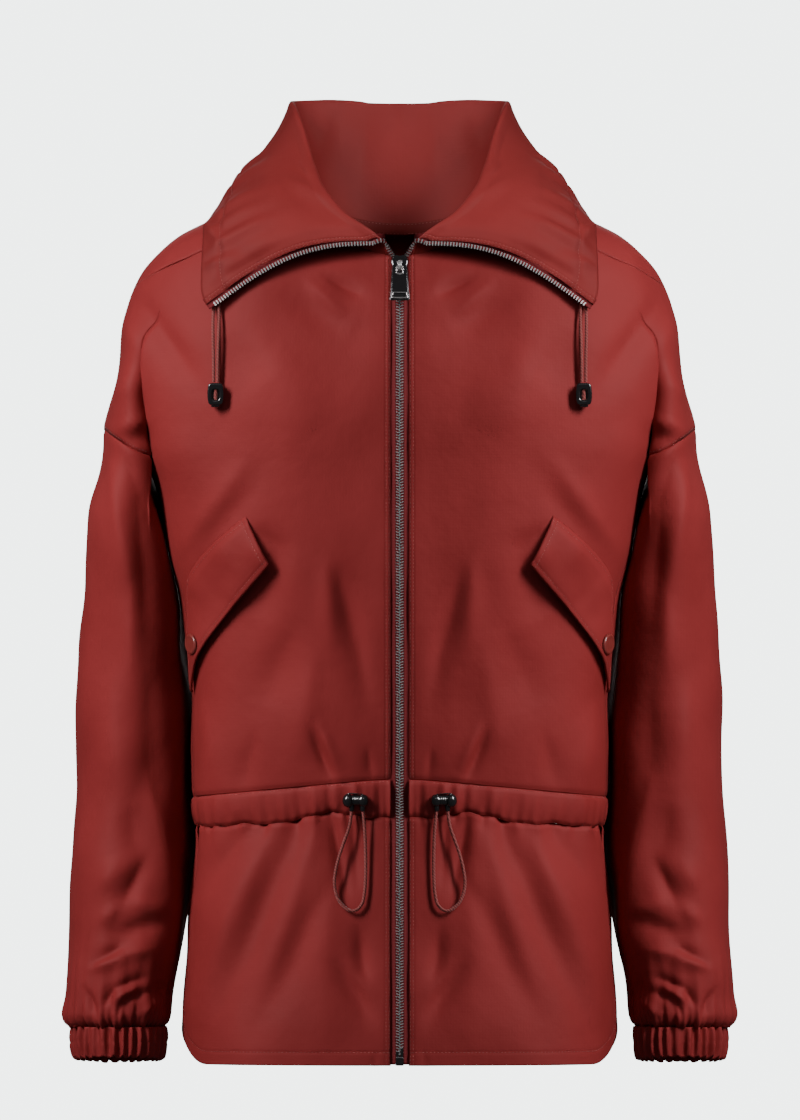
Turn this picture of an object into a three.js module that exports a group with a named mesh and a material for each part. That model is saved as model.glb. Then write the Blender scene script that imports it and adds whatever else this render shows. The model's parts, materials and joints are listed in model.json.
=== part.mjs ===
// A light parka with a tall funnel collar worn open, a drawcord waist and elastic cuffs.
// Millimetres. +X is the wearer's left, -Y the front, +Z up. The origin is the middle of the
// neck, at the height of the back neck seam, where a wearer's neck and shoulders hold it.
import * as THREE from 'three';

// A table whose rows are given as plain numbers under named columns
const rows = (names, values) => values.map(
  (row) => Object.fromEntries(names.split(' ').map((name, i) => [name, row[i]])),
);

// Driving dimensions
const CLOTH = 1.2;              // thickness of a cloth wall
const SEAM_GAP = 0.5;           // between two pieces that are sewn to each other
const FRONT_EDGE = 7.4;         // from the zip's middle line to a front's folded edge
const TAPE = { inner: 3.6, outer: 12, thickness: 0.8, behind: 0.7, onCollar: 7.2 };
const TEETH = { half: 3.1, onCollar: 2.9, thickness: 2.2 };
// The pull tab hangs by its crossbar from the slider's bail; its sizes are taken from the hinge
const PULL = {
  half: 6, footHalf: 8.3, above: 1.3, below: 31.5, slotHalf: 2, slotTop: -0.9, slotFoot: -7.5, thickness: 1.8,
};
const HINGE = { z: -35, off: 2.3 };
const BAIL = { half: 1.6, up: 5.2, down: 4.6, reach: 6, wire: 1.5 };
const SLIDER = { top: -24, bottom: -42.4, shoulder: 13, waist: 9.4, thickness: 5.4 };
const BOX = { height: 7.5, width: 6.8, thickness: 4 };
const CUFF = { top: -661.1, pleats: 26, swell: 1.5, rimDrop: 27.5, tilt: 3 };
const SNAP = { radius: 8.8, thickness: 2.4, along: 0.8, down: 0.78, seat: 1.3 };
const CASING = { swell: 2.2, pucker: 1.3, waves: 13, gap: 1.1 };
// A pocket flap's corners, as an angle from the centre front and a height
const FLAP = {
  top: { angle: 49, z: -238 },
  side: { angle: 71.5, z: -292 },
  inner: { angle: 43, z: -278 },
  tip: { angle: 77, z: -382 },
  edge: 0.15, seat: 2, lift: 7,
};
const ZIP_STEPS = 34;
const CORD = 2.5;               // drawcord diameter
const WAIST_LOCK = { width: 21.7, height: 12.5, depth: 8.4, x: 36.5, y: -114.5, z: -473 };
const COLLAR_LOCK = { width: 14, height: 20, depth: 8.4, x: 151.7, y: -113.7, z: -138.4 };

// Rings of the body from neck seam to hem. halfWidth, front and back are the plan's half
// sizes, power its squareness, zFront, zSide and zBack its height at those places, armOut how
// far the dropped shoulder reaches, and crease the angle of the fold between body and arm.
const RINGS = rows('ring halfWidth front back power zFront zSide zBack armOut crease', [
  [0, 74, 84, 66, 2.1, -23, 14, 1, 74, 42],
  [1, 112, 88, 79, 2.1, -33, 12, -9, 112, 50],
  [2, 152, 94, 90, 2.15, -46, 7, -21, 152, 57],
  [3, 178, 99.5, 96, 2.2, -58, -1.5, -34, 178, 62],
  [4, 200, 104, 100, 2.25, -72, -17, -50, 200, 66],
  [5, 214, 108, 103, 2.3, -86, -33, -68, 214, 69],
  [6, 226, 113, 106, 2.35, -106, -62, -94, 226, 72],
  [7, 231, 117, 108, 2.45, -124, -90, -116, 231.5, 74],
  [8, 228, 120.5, 109, 2.6, -146, -125, -141, 237.5, 74.5],
  [9, 220, 122, 110, 2.8, -167, -157, -165, 244, 74.5],
  [10, 212, 122, 110, 3, -188, -188, -188, 250, 74.5],
  [11, 202, 122.5, 110, 3, -218, -218, -218, 250, 74.5],
  [12, 192, 122, 108, 2.9, -265, -265, -265, 250, 72],
  [13, 181, 119, 106, 2.8, -310, -310, -310, 250, 70],
  [14, 177.6, 116, 104, 2.8, -346, -346, -346, 250, 68],
  [15, 171.5, 112, 102, 2.75, -390, -393, -390, 250, 66],
  [16, 173, 109.5, 101, 2.7, -423, -432, -424, 250, 65],
  [17, 172, 106, 99, 2.7, -456, -471, -458, 250, 64],
  [18, 168.5, 103, 96, 2.7, -486.5, -496, -488, 250, 64],
  [19, 169.5, 105, 98, 2.7, -512, -517, -513, 250, 64],
  [20, 175, 109.5, 102, 2.7, -556, -559, -556, 250, 64],
  [21, 179, 115, 108, 2.7, -622, -622, -622, 250, 64],
  [22, 181.5, 118, 110, 2.7, -662, -662, -662, 250, 64],
  [23, 181, 119, 111, 2.7, -691.5, -691.5, -691.5, 250, 64],
]);
// Rings where one piece of cloth is sewn to the next
const NECK = 0;
const ARMPIT = 10;
const CASING_TOP = 17;
const CASING_FOOT = 18;
const HEM = 23;
const ARM_ARC = 118;            // degrees of the arm's section between its outermost line and the crease
const ARMHOLE_GAP = 1;          // between sleeve and body, which meet at a slant
const ARMHOLE_RISE = 0.7;       // rings that the armhole seam climbs on the outside of the arm
const HEM_CORNER = { wide: 22, rise: 33 };      // the side's arch in the hem, seen from the front

// Where the forward shoulder seam and the side seam run, as an angle from the centre front
const SHOULDER_SEAM = rows('ring angle', [
  [0, 56],
  [2, 62],
  [3.6, 69],
  [4.9, 78],
  [6, 90],
  [10, 90],
]);
const SIDE_SEAM = rows('ring angle', [
  [10, 84],
  [12, 80],
  [13, 77],
  [15, 80],
  [23, 80],
]);

// Sections of a sleeve: outer and inner edge, half depth and the section's middle, by height
const SLEEVE = rows('z outer inner depth middle', [
  [-166, 247, 188, 65, -3],
  [-188, 250.5, 187, 66, -3],
  [-241, 258, 186, 67, 1],
  [-310, 263.5, 181, 66, 6],
  [-372, 266.6, 178, 64, 8],
  [-474, 270.7, 176, 61, 6],
  [-576, 274.5, 179, 56, -4],
  [-624, 275.4, 187, 52, -12],
  [-650, 275.4, 190.5, 47, -16],
  [-661.8, 271, 194.5, 40, -18],
]);
// The sleeve's inner side lies a little behind the body's side
const SLEEVE_TUCK = { angle: 143, width: 26, depth: 20 };
const SLEEVE_FOOT = -661.6;
const SLEEVE_CLEAR = rows('z clear', [
  [-188, 1.1],
  [-215, 2],
  [-300, 2.6],
  [-700, 3],
]);

// Stations of the collar from the zip's edge to the centre back: angle on the neck seam, then
// the crest of the roll, the free edge, and how far the leaf bows up and forward between them
const COLLAR = rows('at neck cx cy cz ex ey ez bowUp bowOut', [
  [0, 1.8, 12, -92, -11.5, 158, -100, -69.6, 17, 3],
  [1, 14, 27, -92, 1, 163.5, -93, -50, 15, 5],
  [2, 30, 46, -84, 14.5, 163.2, -81, -25, 13, 6],
  [3, 48, 62.5, -65, 33, 160.8, -60, -2.5, 11, 5],
  [4, 66, 70.5, -39, 53, 154.5, -30, 11.5, 9, 2],
  [5, 88, 78, -6, 80, 145.5, 5, 23, 7, 0],
  [6, 108, 86, 20, 101, 135, 38, 33.5, 3, -2],
  [7, 130, 90, 48, 109.5, 112, 76, 36, 2, -4],
  [8, 152, 56, 77, 110.5, 66, 103, 36, 1, -5],
  [9, 180, 0, 88, 110, 0, 113, 36, 1, -6],
]);
const ROLL = 5;                 // half thickness of the collar's roll
const CHANNEL = { width: 20, swell: 1.6, waves: 13, wave: 1.1 };
const COLLAR_DEPTH = 185;       // cloth from neck seam to free edge
const COLLAR_ROWS = [0, 0.21, 0.42, 0.455, 0.49, 0.525, 0.56, 0.64, 0.73, 0.81, 0.88, 0.94, 1];

// Creases, each a soft ridge (+) or trough (-) between two places seen from the front (x counts
// outwards from the middle) or, on the back, seen from behind
const BODY_FOLDS = rows('face x1 z1 x2 z2 width depth', [
  [-1, 216, -57, 171, -129, 13, 5],
  [-1, 66, -242, 30, -422, 12, -4],
  [-1, 71, -415, 59, -462, 10, -5],
  [-1, 91, -499, 155, -662, 15, 5],
  [-1, 49, -549, 14, -663, 14, -4],
  [-1, 150, -215, 105, -330, 18, -4],
  [1, 206, -70, 150, -190, 16, 5],
  [1, 120, -300, 70, -450, 16, -5],
  [1, 35, -380, 22, -458, 11, -4],
  [1, 70, -500, 110, -680, 16, 5],
  [1, 25, -500, 38, -660, 14, -4],
]);
const SLEEVE_FOLDS = rows('face x1 z1 x2 z2 width depth', [
  [-1, 237, -209, 219, -350, 13, 5],
  [-1, 217, -525, 240, -590, 12, -5],
  [-1, 252, -578, 232, -592, 9, 4],
  [-1, 244, -648, 214, -622, 8, 4],
  [1, 214, -240, 244, -380, 14, -5],
  [1, 250, -450, 205, -520, 13, 5],
  [1, 205, -590, 245, -620, 10, -4],
]);

// Routes of the drawcords on the wearer's left, as points chosen by hand
const WAIST_CORD = [
  [39.6, -109.2, -479.8], [40.4, -109.8, -488], [42, -109.6, -496], [45.2, -109.6, -505], [48, -109.8, -513],
  [50.8, -110.4, -522], [52.8, -111.2, -531], [53.8, -112.2, -541], [51.6, -113.4, -552], [46, -114.4, -560.2],
  [38.4, -114.8, -563.8], [32, -114.4, -559.4], [29.2, -113.6, -550], [28.2, -112.4, -538], [28, -111.2, -526],
  [28.2, -110.4, -514], [28.6, -110, -502], [29.4, -109.6, -491], [30.6, -109.2, -479.8],
];
const COLLAR_CORD = [
  [153.6, -95.7, -62.5], [153.7, -95.6, -67], [153.9, -97.2, -73], [154, -99.4, -80], [153.9, -102, -90],
  [153.7, -103.8, -100], [153.5, -105.4, -110], [153.4, -106.6, -119], [153.4, -107.2, -127.9],
];
const COLLAR_CORD_INNER = [
  [149.2, -95.7, -62.5], [149.1, -95.6, -67], [149, -97.2, -73], [149.1, -99.4, -80], [149.4, -102, -90],
  [149.7, -103.8, -100], [149.9, -105.4, -110], [150, -106.6, -119], [150, -107.2, -127.9],
];

const FINISH = {
  shell: { color: '#8a3630', roughness: 0.5, metalness: 0 },
  tape: { color: '#7a2029', roughness: 0.8, metalness: 0 },
  teeth: { color: '#5b5757', roughness: 0.35, metalness: 1 },
  nickel: { color: '#1c1b1d', roughness: 0.25, metalness: 1 },
  lock: { color: '#131214', roughness: 0.2, metalness: 0 },
  cord: { color: '#8f3a35', roughness: 0.75, metalness: 0 },
};

const { lerp, clamp, smoothstep, degToRad } = THREE.MathUtils;
const V = (x, y, z) => new THREE.Vector3(x, y, z);

// A smooth curve through one column of a table, with no overshoot between its rows
function column(table, key, name) {
  const x = table.map((row) => row[key]), y = table.map((row) => row[name]);
  const sign = x[1] > x[0] ? 1 : -1;
  const slope = x.slice(1).map((_, i) => (y[i + 1] - y[i]) / (x[i + 1] - x[i]));
  const tangent = x.map((_, i) => {
    const before = slope[i - 1], after = slope[i];
    if (before === undefined || after === undefined) return before ?? after;
    return before * after <= 0 ? 0 : (2 * before * after) / (before + after);
  });
  return (at) => {
    let i = 0;
    while (i < x.length - 2 && sign * at > sign * x[i + 1]) i += 1;
    const h = x[i + 1] - x[i], t = clamp((at - x[i]) / h, 0, 1), t2 = t * t, t3 = t2 * t;
    return (2 * t3 - 3 * t2 + 1) * y[i] + (t3 - 2 * t2 + t) * h * tangent[i]
      + (3 * t2 - 2 * t3) * y[i + 1] + (t3 - t2) * h * tangent[i + 1];
  };
}
const columns = (table, key) => Object.fromEntries(
  Object.keys(table[0]).filter((name) => name !== key).map((name) => [name, column(table, key, name)]));

const body = columns(RINGS, 'ring');
const sleeveAt = columns(SLEEVE, 'z');
const collarAt = columns(COLLAR, 'at');
const shoulderSeam = column(SHOULDER_SEAM, 'ring', 'angle');
const sideSeam = column(SIDE_SEAM, 'ring', 'angle');
const sleeveClear = column(SLEEVE_CLEAR, 'z', 'clear');

// How far a table of creases lifts the cloth at a place
function folded(folds, x, y, z, middle) {
  let lift = 0;
  for (const f of folds) {
    const face = smoothstep(f.face * (y - middle), 4, 34) * smoothstep(x, 14, 45);
    if (face === 0) continue;
    const dx = f.x2 - f.x1;
    const dz = f.z2 - f.z1;
    const along = clamp(((x - f.x1) * dx + (z - f.z1) * dz) / (dx * dx + dz * dz), 0, 1);
    const away = Math.hypot(x - f.x1 - along * dx, z - f.z1 - along * dz);
    lift += face * f.depth * Math.exp(-((away / f.width) ** 2)) * Math.sin(Math.PI * lerp(0.12, 0.88, along));
  }
  return lift;
}

// A point of the body's ring at an angle from the centre front, on the side x > 0
function bodyBase(ring, degrees) {
  const a = degToRad(degrees), s = Math.abs(Math.sin(a)), c = Math.cos(a);
  const depth = c > 0 ? body.front(ring) : body.back(ring), power = body.power(ring);
  const r = ((s / body.halfWidth(ring)) ** power + (Math.abs(c) / depth) ** power) ** (-1 / power);
  const end = c > 0 ? body.zFront(ring) : body.zBack(ring);
  return V(r * s, -r * c, lerp(end, body.zSide(ring), s * s));
}

// The half of the ring that goes round the arm: turn runs from -1 at the front crease to 1 behind
function armBase(ring, turn) {
  const front = bodyBase(ring, body.crease(ring)), back = bodyBase(ring, 180 - body.crease(ring));
  const flat = bodyBase(ring, lerp(body.crease(ring), 180 - body.crease(ring), (turn + 1) / 2));
  const arc = degToRad(ARM_ARC), from = turn < 0 ? front : back;
  const half = (body.armOut(ring) - from.x) / (1 - Math.cos(arc));
  const round = V(body.armOut(ring) - half * (1 - Math.cos(arc * turn)),
    Math.abs(from.y) * Math.sin(arc * turn) / Math.sin(arc), flat.z);
  return flat.lerp(round, smoothstep(ring, 6, 9));
}
const armholeRing = (turn) => ARMPIT - ARMHOLE_RISE * (1 - turn * turn) ** 1.7;

// The outward normal of a surface by small steps, then the surface with its creases
function creased(base, folds, middle, u, v, step) {
  const p = base(u, v);
  const across = base(u + step.u, v).sub(base(u - step.u, v));
  const down = base(u, v + step.v).sub(base(u, v - step.v));
  const n = across.cross(down).normalize().negate();
  return { point: p.clone().addScaledVector(n, folded(folds, p.x, p.y, p.z, middle)), normal: n };
}
const STEP = { u: 0.02, v: 0.02 };
const bodyPoint = (ring, degrees, out = 0) => {
  const at = creased((a, r) => bodyBase(r, a), BODY_FOLDS, 0, degrees, ring, { u: 0.2, v: 0.02 });
  return at.point.addScaledVector(at.normal, out);
};
const armPoint = (ring, turn) => (Math.abs(turn) > 0.999
  ? bodyPoint(ring, turn < 0 ? body.crease(ring) : 180 - body.crease(ring))
  : creased((t, r) => armBase(r, t), BODY_FOLDS, 0, turn, ring, STEP).point);

// Sleeve: turn runs from -1 to 1 round the outside, and on to 1 + UNDER under the arm
const UNDER = (360 - 2 * ARM_ARC) / ARM_ARC;
// The ring at which a height column of the table passes a height
function ringAt(height, z, from, to, precision) {
  const middle = (from + to) / 2;
  if (to - from < precision) return from;
  if (height(middle) > z) return ringAt(height, z, middle, to, precision);
  return ringAt(height, z, from, middle, precision);
}
// How far the body reaches sideways at a depth and height
function bodyReach(y, z) {
  const low = ringAt(body.zSide, z, ARMPIT, HEM, 0.01);
  const power = body.power(low), depth = y < 0 ? body.front(low) : body.back(low);
  return body.halfWidth(low) * Math.max(0, 1 - Math.abs(y / depth) ** power) ** (1 / power);
}
function sleeveTop(turn) {
  if (Math.abs(turn) <= 1) {
    return armPoint(armholeRing(turn), turn);
  }
  const front = bodyBase(ARMPIT, body.crease(ARMPIT)), back = bodyBase(ARMPIT, 180 - body.crease(ARMPIT));
  const y = lerp(back.y, front.y, (turn - 1) / UNDER);
  return V(bodyReach(y, body.zSide(ARMPIT)), y, body.zSide(ARMPIT));
}
function sleeveBase(turn, down) {
  const top = sleeveTop(turn), z = lerp(top.z, SLEEVE_FOOT, down), a = degToRad(turn * ARM_ARC);
  const outer = sleeveAt.outer(z), inner = sleeveAt.inner(z);
  const section = V((outer + inner) / 2 + (outer - inner) / 2 * Math.cos(a),
    sleeveAt.middle(z) + sleeveAt.depth(z) * Math.sin(a), z);
  const p = V(top.x, top.y, z).lerp(section, smoothstep(top.z - z, 0, 70));
  const behind = Math.exp(-(((turn * ARM_ARC - SLEEVE_TUCK.angle) / SLEEVE_TUCK.width) ** 2));
  p.x -= SLEEVE_TUCK.depth * behind * smoothstep(top.z - z, 10, 90) * smoothstep(z, -640, -560);
  const reach = bodyReach(p.y, z) + sleeveClear(z), over = reach - p.x;
  if (down > 0.001 || Math.abs(turn) > 0.97) {
    p.x = (p.x + reach + Math.hypot(over, 3 * smoothstep(top.z - z, 0, 60))) / 2;
  }
  return p;
}
const sleevePoint = (turn, down) => creased(sleeveBase, SLEEVE_FOLDS, -10, turn, down, { u: 0.02, v: 0.01 }).point;

// The collar's outside face: at runs from the zip (0) to the centre back (9), up from the neck
// seam (0) over the crest of the roll (0.5) to the free edge (1)
function collarBase(at, up) {
  const neck = bodyBase(NECK, collarAt.neck(at));
  neck.multiply(V(0.986, 0.986, 1)).add(V(0, 0, -0.8));
  const crest = V(collarAt.cx(at), collarAt.cy(at), collarAt.cz(at));
  const edge = V(collarAt.ex(at), collarAt.ey(at), collarAt.ez(at));
  const fall = edge.clone().sub(crest).normalize(), stand = crest.clone().sub(neck).normalize();
  const turn = fall.clone().sub(stand).normalize();
  const roll = Math.min(ROLL, crest.distanceTo(neck) * 0.35);
  const rise = crest.clone().addScaledVector(stand, -roll * 2).addScaledVector(turn, -roll * 0.1);
  const drop = crest.clone().addScaledVector(fall, roll * 2);
  const curve = new THREE.QuadraticBezierCurve3(rise, crest.clone().addScaledVector(turn, -roll * 0.6), drop);
  if (up < 0.42) return neck.clone().lerp(rise, up / 0.42);
  if (up < 0.56) return curve.getPoint((up - 0.42) / 0.14);
  const down = (up - 0.56) / 0.44;
  const bow = Math.sin(Math.PI * down) * (1 - 0.15 * down);
  return drop.lerp(edge, down).add(V(0, -collarAt.bowOut(at) * bow, collarAt.bowUp(at) * bow));
}

// Closed wall from patches of a surface. Each patch gives points on a grid; its outward side
// follows its sense, edges shared by two patches are merged, and free edges are drawn in.
function patch(sense, columnsCount, rowsCount, point) {
  const grid = [];
  for (let i = 0; i <= columnsCount; i += 1) {
    grid.push([]);
    for (let j = 0; j <= rowsCount; j += 1) grid[i].push(point(i / columnsCount, j / rowsCount));
  }
  const quads = [];
  for (let i = 0; i < columnsCount; i += 1) {
    for (let j = 0; j < rowsCount; j += 1) {
      const quad = [grid[i][j], grid[i][j + 1], grid[i + 1][j + 1], grid[i + 1][j]];
      quads.push(sense > 0 ? quad : quad.reverse());
    }
  }
  return quads;
}

function wall(quads, thickness = CLOTH, gap = SEAM_GAP) {
  const places = [], index = new Map(), faces = [];
  const place = (p) => {
    const key = `${Math.round(p.x * 500)},${Math.round(p.y * 500)},${Math.round(p.z * 500)}`;
    if (!index.has(key)) {
      index.set(key, places.length);
      places.push(p.clone());
    }
    return index.get(key);
  };
  for (const quad of quads) {
    const face = quad.map(place).filter((at, i, all) => all.indexOf(at) === i);
    if (face.length > 2) faces.push(face);
  }
  const edges = new Set();
  const follow = (face, i) => face[(i + 1) % face.length];
  for (const face of faces) face.forEach((a, i) => edges.add(`${a}>${follow(face, i)}`));
  const free = [];
  for (const face of faces) {
    face.forEach((a, i) => {
      if (!edges.has(`${follow(face, i)}>${a}`)) free.push([a, follow(face, i)]);
    });
  }
  const rim = new Set(free.flat());
  const pull = places.map(() => V(0, 0, 0));
  const normals = places.map(() => V(0, 0, 0));
  for (const face of faces) {
    const middle = face.reduce((sum, at) => sum.add(places[at]), V(0, 0, 0)).divideScalar(face.length);
    const n = places[face[2]].clone().sub(places[face[0]]).cross(
      places[face[face.length - 1]].clone().sub(places[face[1]]));
    for (const at of face) {
      normals[at].add(n);
      pull[at].add(middle.clone().sub(places[at]));
    }
  }
  for (const at of rim) places[at].addScaledVector(pull[at].normalize(), gap / 2 * 1.15);
  const inner = places.map((p, at) => p.clone().addScaledVector(normals[at].normalize(), -thickness));
  const triangles = [], back = places.length;
  for (const face of faces) {
    for (let i = 1; i < face.length - 1; i += 1) {
      triangles.push(face[0], face[i], face[i + 1], back + face[0], back + face[i + 1], back + face[i]);
    }
  }
  for (const [a, b] of free) triangles.push(b, a, back + a, b, back + a, back + b);
  return solid([...places, ...inner], triangles);
}

function solid(points, triangles) {
  const geometry = new THREE.BufferGeometry();
  geometry.setAttribute('position', new THREE.Float32BufferAttribute(points.flatMap((p) => p.toArray()), 3));
  geometry.setIndex(triangles);
  geometry.computeVertexNormals();
  return geometry;
}

// A bar with four corners at every station, such as a tape or a row of teeth
function bar(stations) {
  const points = stations.flat(), triangles = [], last = (stations.length - 1) * 4;
  const quad = (a, b, c, d) => triangles.push(a, b, c, a, c, d);
  for (let s = 0; s < stations.length - 1; s += 1) {
    for (let k = 0; k < 4; k += 1) quad(s * 4 + k, s * 4 + (k + 1) % 4, s * 4 + 4 + (k + 1) % 4, s * 4 + 4 + k);
  }
  quad(3, 2, 1, 0);
  quad(last, last + 1, last + 2, last + 3);
  let volume = 0;
  for (let i = 0; i < triangles.length; i += 3) {
    const [p, q, r] = triangles.slice(i, i + 3).map((at) => points[at]);
    volume += p.dot(q.clone().cross(r));
  }
  return solid(points, volume > 0 ? triangles : triangles.reverse());
}

const parka = new THREE.Group();
parka.name = 'parka';
function add(name, geometry, finish) {
  const material = new THREE.MeshStandardMaterial({ ...FINISH[finish], side: THREE.DoubleSide });
  const mesh = new THREE.Mesh(geometry, material);
  mesh.name = name;
  parka.add(mesh);
  return mesh;
}
const SIDES = [{ side: 'left', sign: 1 }, { side: 'right', sign: -1 }];
const mirrored = (p, sign) => (sign > 0 ? p : V(-p.x, p.y, p.z));

// The angle at which a ring reaches a distance from the middle line
const angleAt = (ring, x) => THREE.MathUtils.radToDeg(Math.atan2(x, body.front(ring)));

// Upper body: the middle strip, the part over the shoulder and arm, and the strip behind the crease
const turnOfSeam = (ring) => 2 * (shoulderSeam(ring) - body.crease(ring)) / (180 - 2 * body.crease(ring)) - 1;
const high = (v) => lerp(NECK, ARMPIT, v);
const low = (v) => lerp(ARMPIT, CASING_TOP, v);
function overArm(u, v, from, to) {
  const seam = turnOfSeam(lerp(NECK, armholeRing(0), v));
  const turn = lerp(from ?? seam, to ?? seam, u);
  return armPoint(lerp(NECK, armholeRing(turn), v), turn);
}
const ROWS = { high: 11, low: 7 };

function front(sign) {
  const strip = (ring, u) => bodyPoint(ring, lerp(angleAt(ring, FRONT_EDGE), body.crease(ring), u));
  const sidePart = (ring, u) => bodyPoint(ring, lerp(body.crease(ring), sideSeam(ring), u));
  const put = (f) => (u, v) => mirrored(f(u, v), sign);
  return wall([
    ...patch(sign, 8, ROWS.high, put((u, v) => strip(high(v), u))),
    ...patch(sign, 8, ROWS.low, put((u, v) => strip(low(v), u))),
    ...patch(sign, 4, ROWS.high, put((u, v) => overArm(u, v, -1, null))),
    ...patch(sign, 2, ROWS.low, put((u, v) => sidePart(low(v), u))),
  ]);
}

function back() {
  const strip = (ring, u) => bodyPoint(ring, lerp(180 - body.crease(ring), 180, u));
  const sidePart = (ring, u) => bodyPoint(ring, lerp(sideSeam(ring), 180 - body.crease(ring), u));
  const half = (sign) => {
    const put = (f) => (u, v) => mirrored(f(u, v), sign);
    return [
      ...patch(sign, 6, ROWS.high, put((u, v) => strip(high(v), u))),
      ...patch(sign, 6, ROWS.low, put((u, v) => strip(low(v), u))),
      ...patch(sign, 6, ROWS.high, put((u, v) => overArm(u, v, null, 1))),
      ...patch(sign, 3, ROWS.low, put((u, v) => sidePart(low(v), u))),
    ];
  };
  return wall([...half(1), ...half(-1)]);
}

// Drawcord casing: a puckered band between the bodice and the skirt
const casingPucker = (angle, v) => CASING.swell * Math.sin(Math.PI * v)
  + CASING.pucker * Math.sin(Math.PI * v) * Math.sin(degToRad(angle) * CASING.waves);
const casingPoint = (angle, v) => bodyPoint(lerp(CASING_TOP, CASING_FOOT, v), angle, casingPucker(angle, v));

// Skirt: the hem rises in a round corner in front of and behind the side seam
function skirtPoint(angle, v) {
  const side = Math.abs(bodyBase(HEM, angle).x) - (body.halfWidth(HEM) - HEM_CORNER.wide);
  const beside = clamp(side / HEM_CORNER.wide, 0, 1);
  const rise = HEM_CORNER.rise * (1 - Math.sqrt(Math.max(0, 1 - beside * beside)));
  const foot = HEM - rise / (body.zSide(22) - body.zSide(23));
  return bodyPoint(lerp(CASING_FOOT, foot, v), angle);
}
const bandOf = (from, to, count, rows, point) => (sign) => patch(
  sign, count, rows, (u, v) => mirrored(point(lerp(from, to, u), v), sign));
const seamAtWaist = sideSeam(CASING_TOP);
const frontEdgeAngle = angleAt(CASING_FOOT, FRONT_EDGE);
const casingFront = bandOf(frontEdgeAngle, seamAtWaist, 20, 2, casingPoint);
const casingBack = bandOf(seamAtWaist, 180, 18, 2, casingPoint);
// More columns near the side than in the middle, for the corner
const skirtFront = bandOf(0, 1, 15, 7,
  (u, v) => skirtPoint(lerp(frontEdgeAngle, seamAtWaist, 1.35 * u - 0.35 * u * u), v));
const skirtBack = bandOf(0, 1, 15, 7, (u, v) => skirtPoint(lerp(seamAtWaist, 180, 0.6 * u + 0.4 * u * u), v));

// Sleeve and elastic cuff, both open rings
const around = (count, rows, point) => (sign) => patch(
  sign, count, rows, (u, v) => mirrored(point(lerp(-1, 1 + UNDER, u), v), sign));
const sleeve = around(22, 13, (turn, v) => sleevePoint(turn >= 1 + UNDER - 1e-6 ? -1 : turn, v));
const cuff = around(CUFF.pleats * 3, 2, (turn, v) => {
  const a = degToRad(turn * ARM_ARC), end = SLEEVE_FOOT;
  const wave = CUFF.swell * Math.sin(a * CUFF.pleats) * (1 - 0.3 * v);
  const wide = (sleeveAt.outer(end) - sleeveAt.inner(end)) / 2 - 1.5 * v + wave;
  const deep = sleeveAt.depth(end) - 1.5 * v + wave;
  return V((sleeveAt.outer(end) + sleeveAt.inner(end)) / 2 + wide * Math.cos(a),
    sleeveAt.middle(end) + deep * Math.sin(a),
    CUFF.top - v * (CUFF.rimDrop + CUFF.tilt * Math.sin(a)));
});

// Collar: its edge keeps back from the zip, and the drawcord channel swells along the free edge
const ZIP_TURN = 0.12;
function acrossZip(up) {
  const p = collarBase(0, up);
  const ahead = collarBase(0, Math.min(1, up + 0.01)).sub(collarBase(0, Math.max(0, up - 0.01))).normalize();
  const l = collarBase(ZIP_TURN, up).sub(p);
  const reach = l.length() / ZIP_TURN;
  return { p, across: l.addScaledVector(ahead, -l.dot(ahead)).normalize(), ahead, reach };
}
function collarPoint(at, up, out = 0) {
  const n = collarBase(Math.min(9, at + 0.02), up).sub(collarBase(Math.max(0, at - 0.02), up)).cross(
    collarBase(at, Math.min(1, up + 0.01)).sub(collarBase(at, Math.max(0, up - 0.01)))).normalize();
  const begin = 1 - 2 * CHANNEL.width / COLLAR_DEPTH;
  const inChannel = clamp((up - begin) / (1 - begin), 0, 1);
  const puff = Math.sin(Math.PI * inChannel) * (CHANNEL.swell + CHANNEL.wave * Math.sin(at * CHANNEL.waves));
  const p = collarBase(at, up).addScaledVector(n, -(puff * smoothstep(at, 0.3, 1)) + out);
  return at > 8.999 ? p.setX(0) : p;
}
function collar(sign) {
  return patch(-sign, 20, 12, (u, v) => {
    const up = COLLAR_ROWS[Math.round(v * 12)];
    const { reach } = acrossZip(up);
    return mirrored(collarPoint(lerp((FRONT_EDGE + 0.4) / Math.max(reach, 14), 9, u ** 1.15), up), sign);
  });
}

// Strips along the zip: on the body they follow the middle line, on the collar its front edge
function zipStrip(sign, ringFrom, ringTo, steps, near, far, front, thickness) {
  const stations = [];
  for (let s = 0; s <= steps; s += 1) {
    const ring = lerp(ringFrom, ringTo, s / steps), p = bodyPoint(ring, 0);
    stations.push([[near, front], [far, front], [far, front + thickness], [near, front + thickness]]
      .map(([x, y]) => mirrored(V(x, p.y + y, p.z), sign)));
  }
  return bar(stations);
}
function collarStrip(sign, from, to, steps, near, far, outside, thickness) {
  const stations = [];
  for (let s = 0; s <= steps; s += 1) {
    const { p, across, ahead } = acrossZip(lerp(from, to, s / steps));
    const out = across.clone().cross(ahead).normalize();
    stations.push([[near, outside], [far, outside], [far, outside + thickness], [near, outside + thickness]]
      .map(([l, o]) => mirrored(p.clone().addScaledVector(across, l).addScaledVector(out, o), sign)));
  }
  return bar(stations);
}

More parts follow.
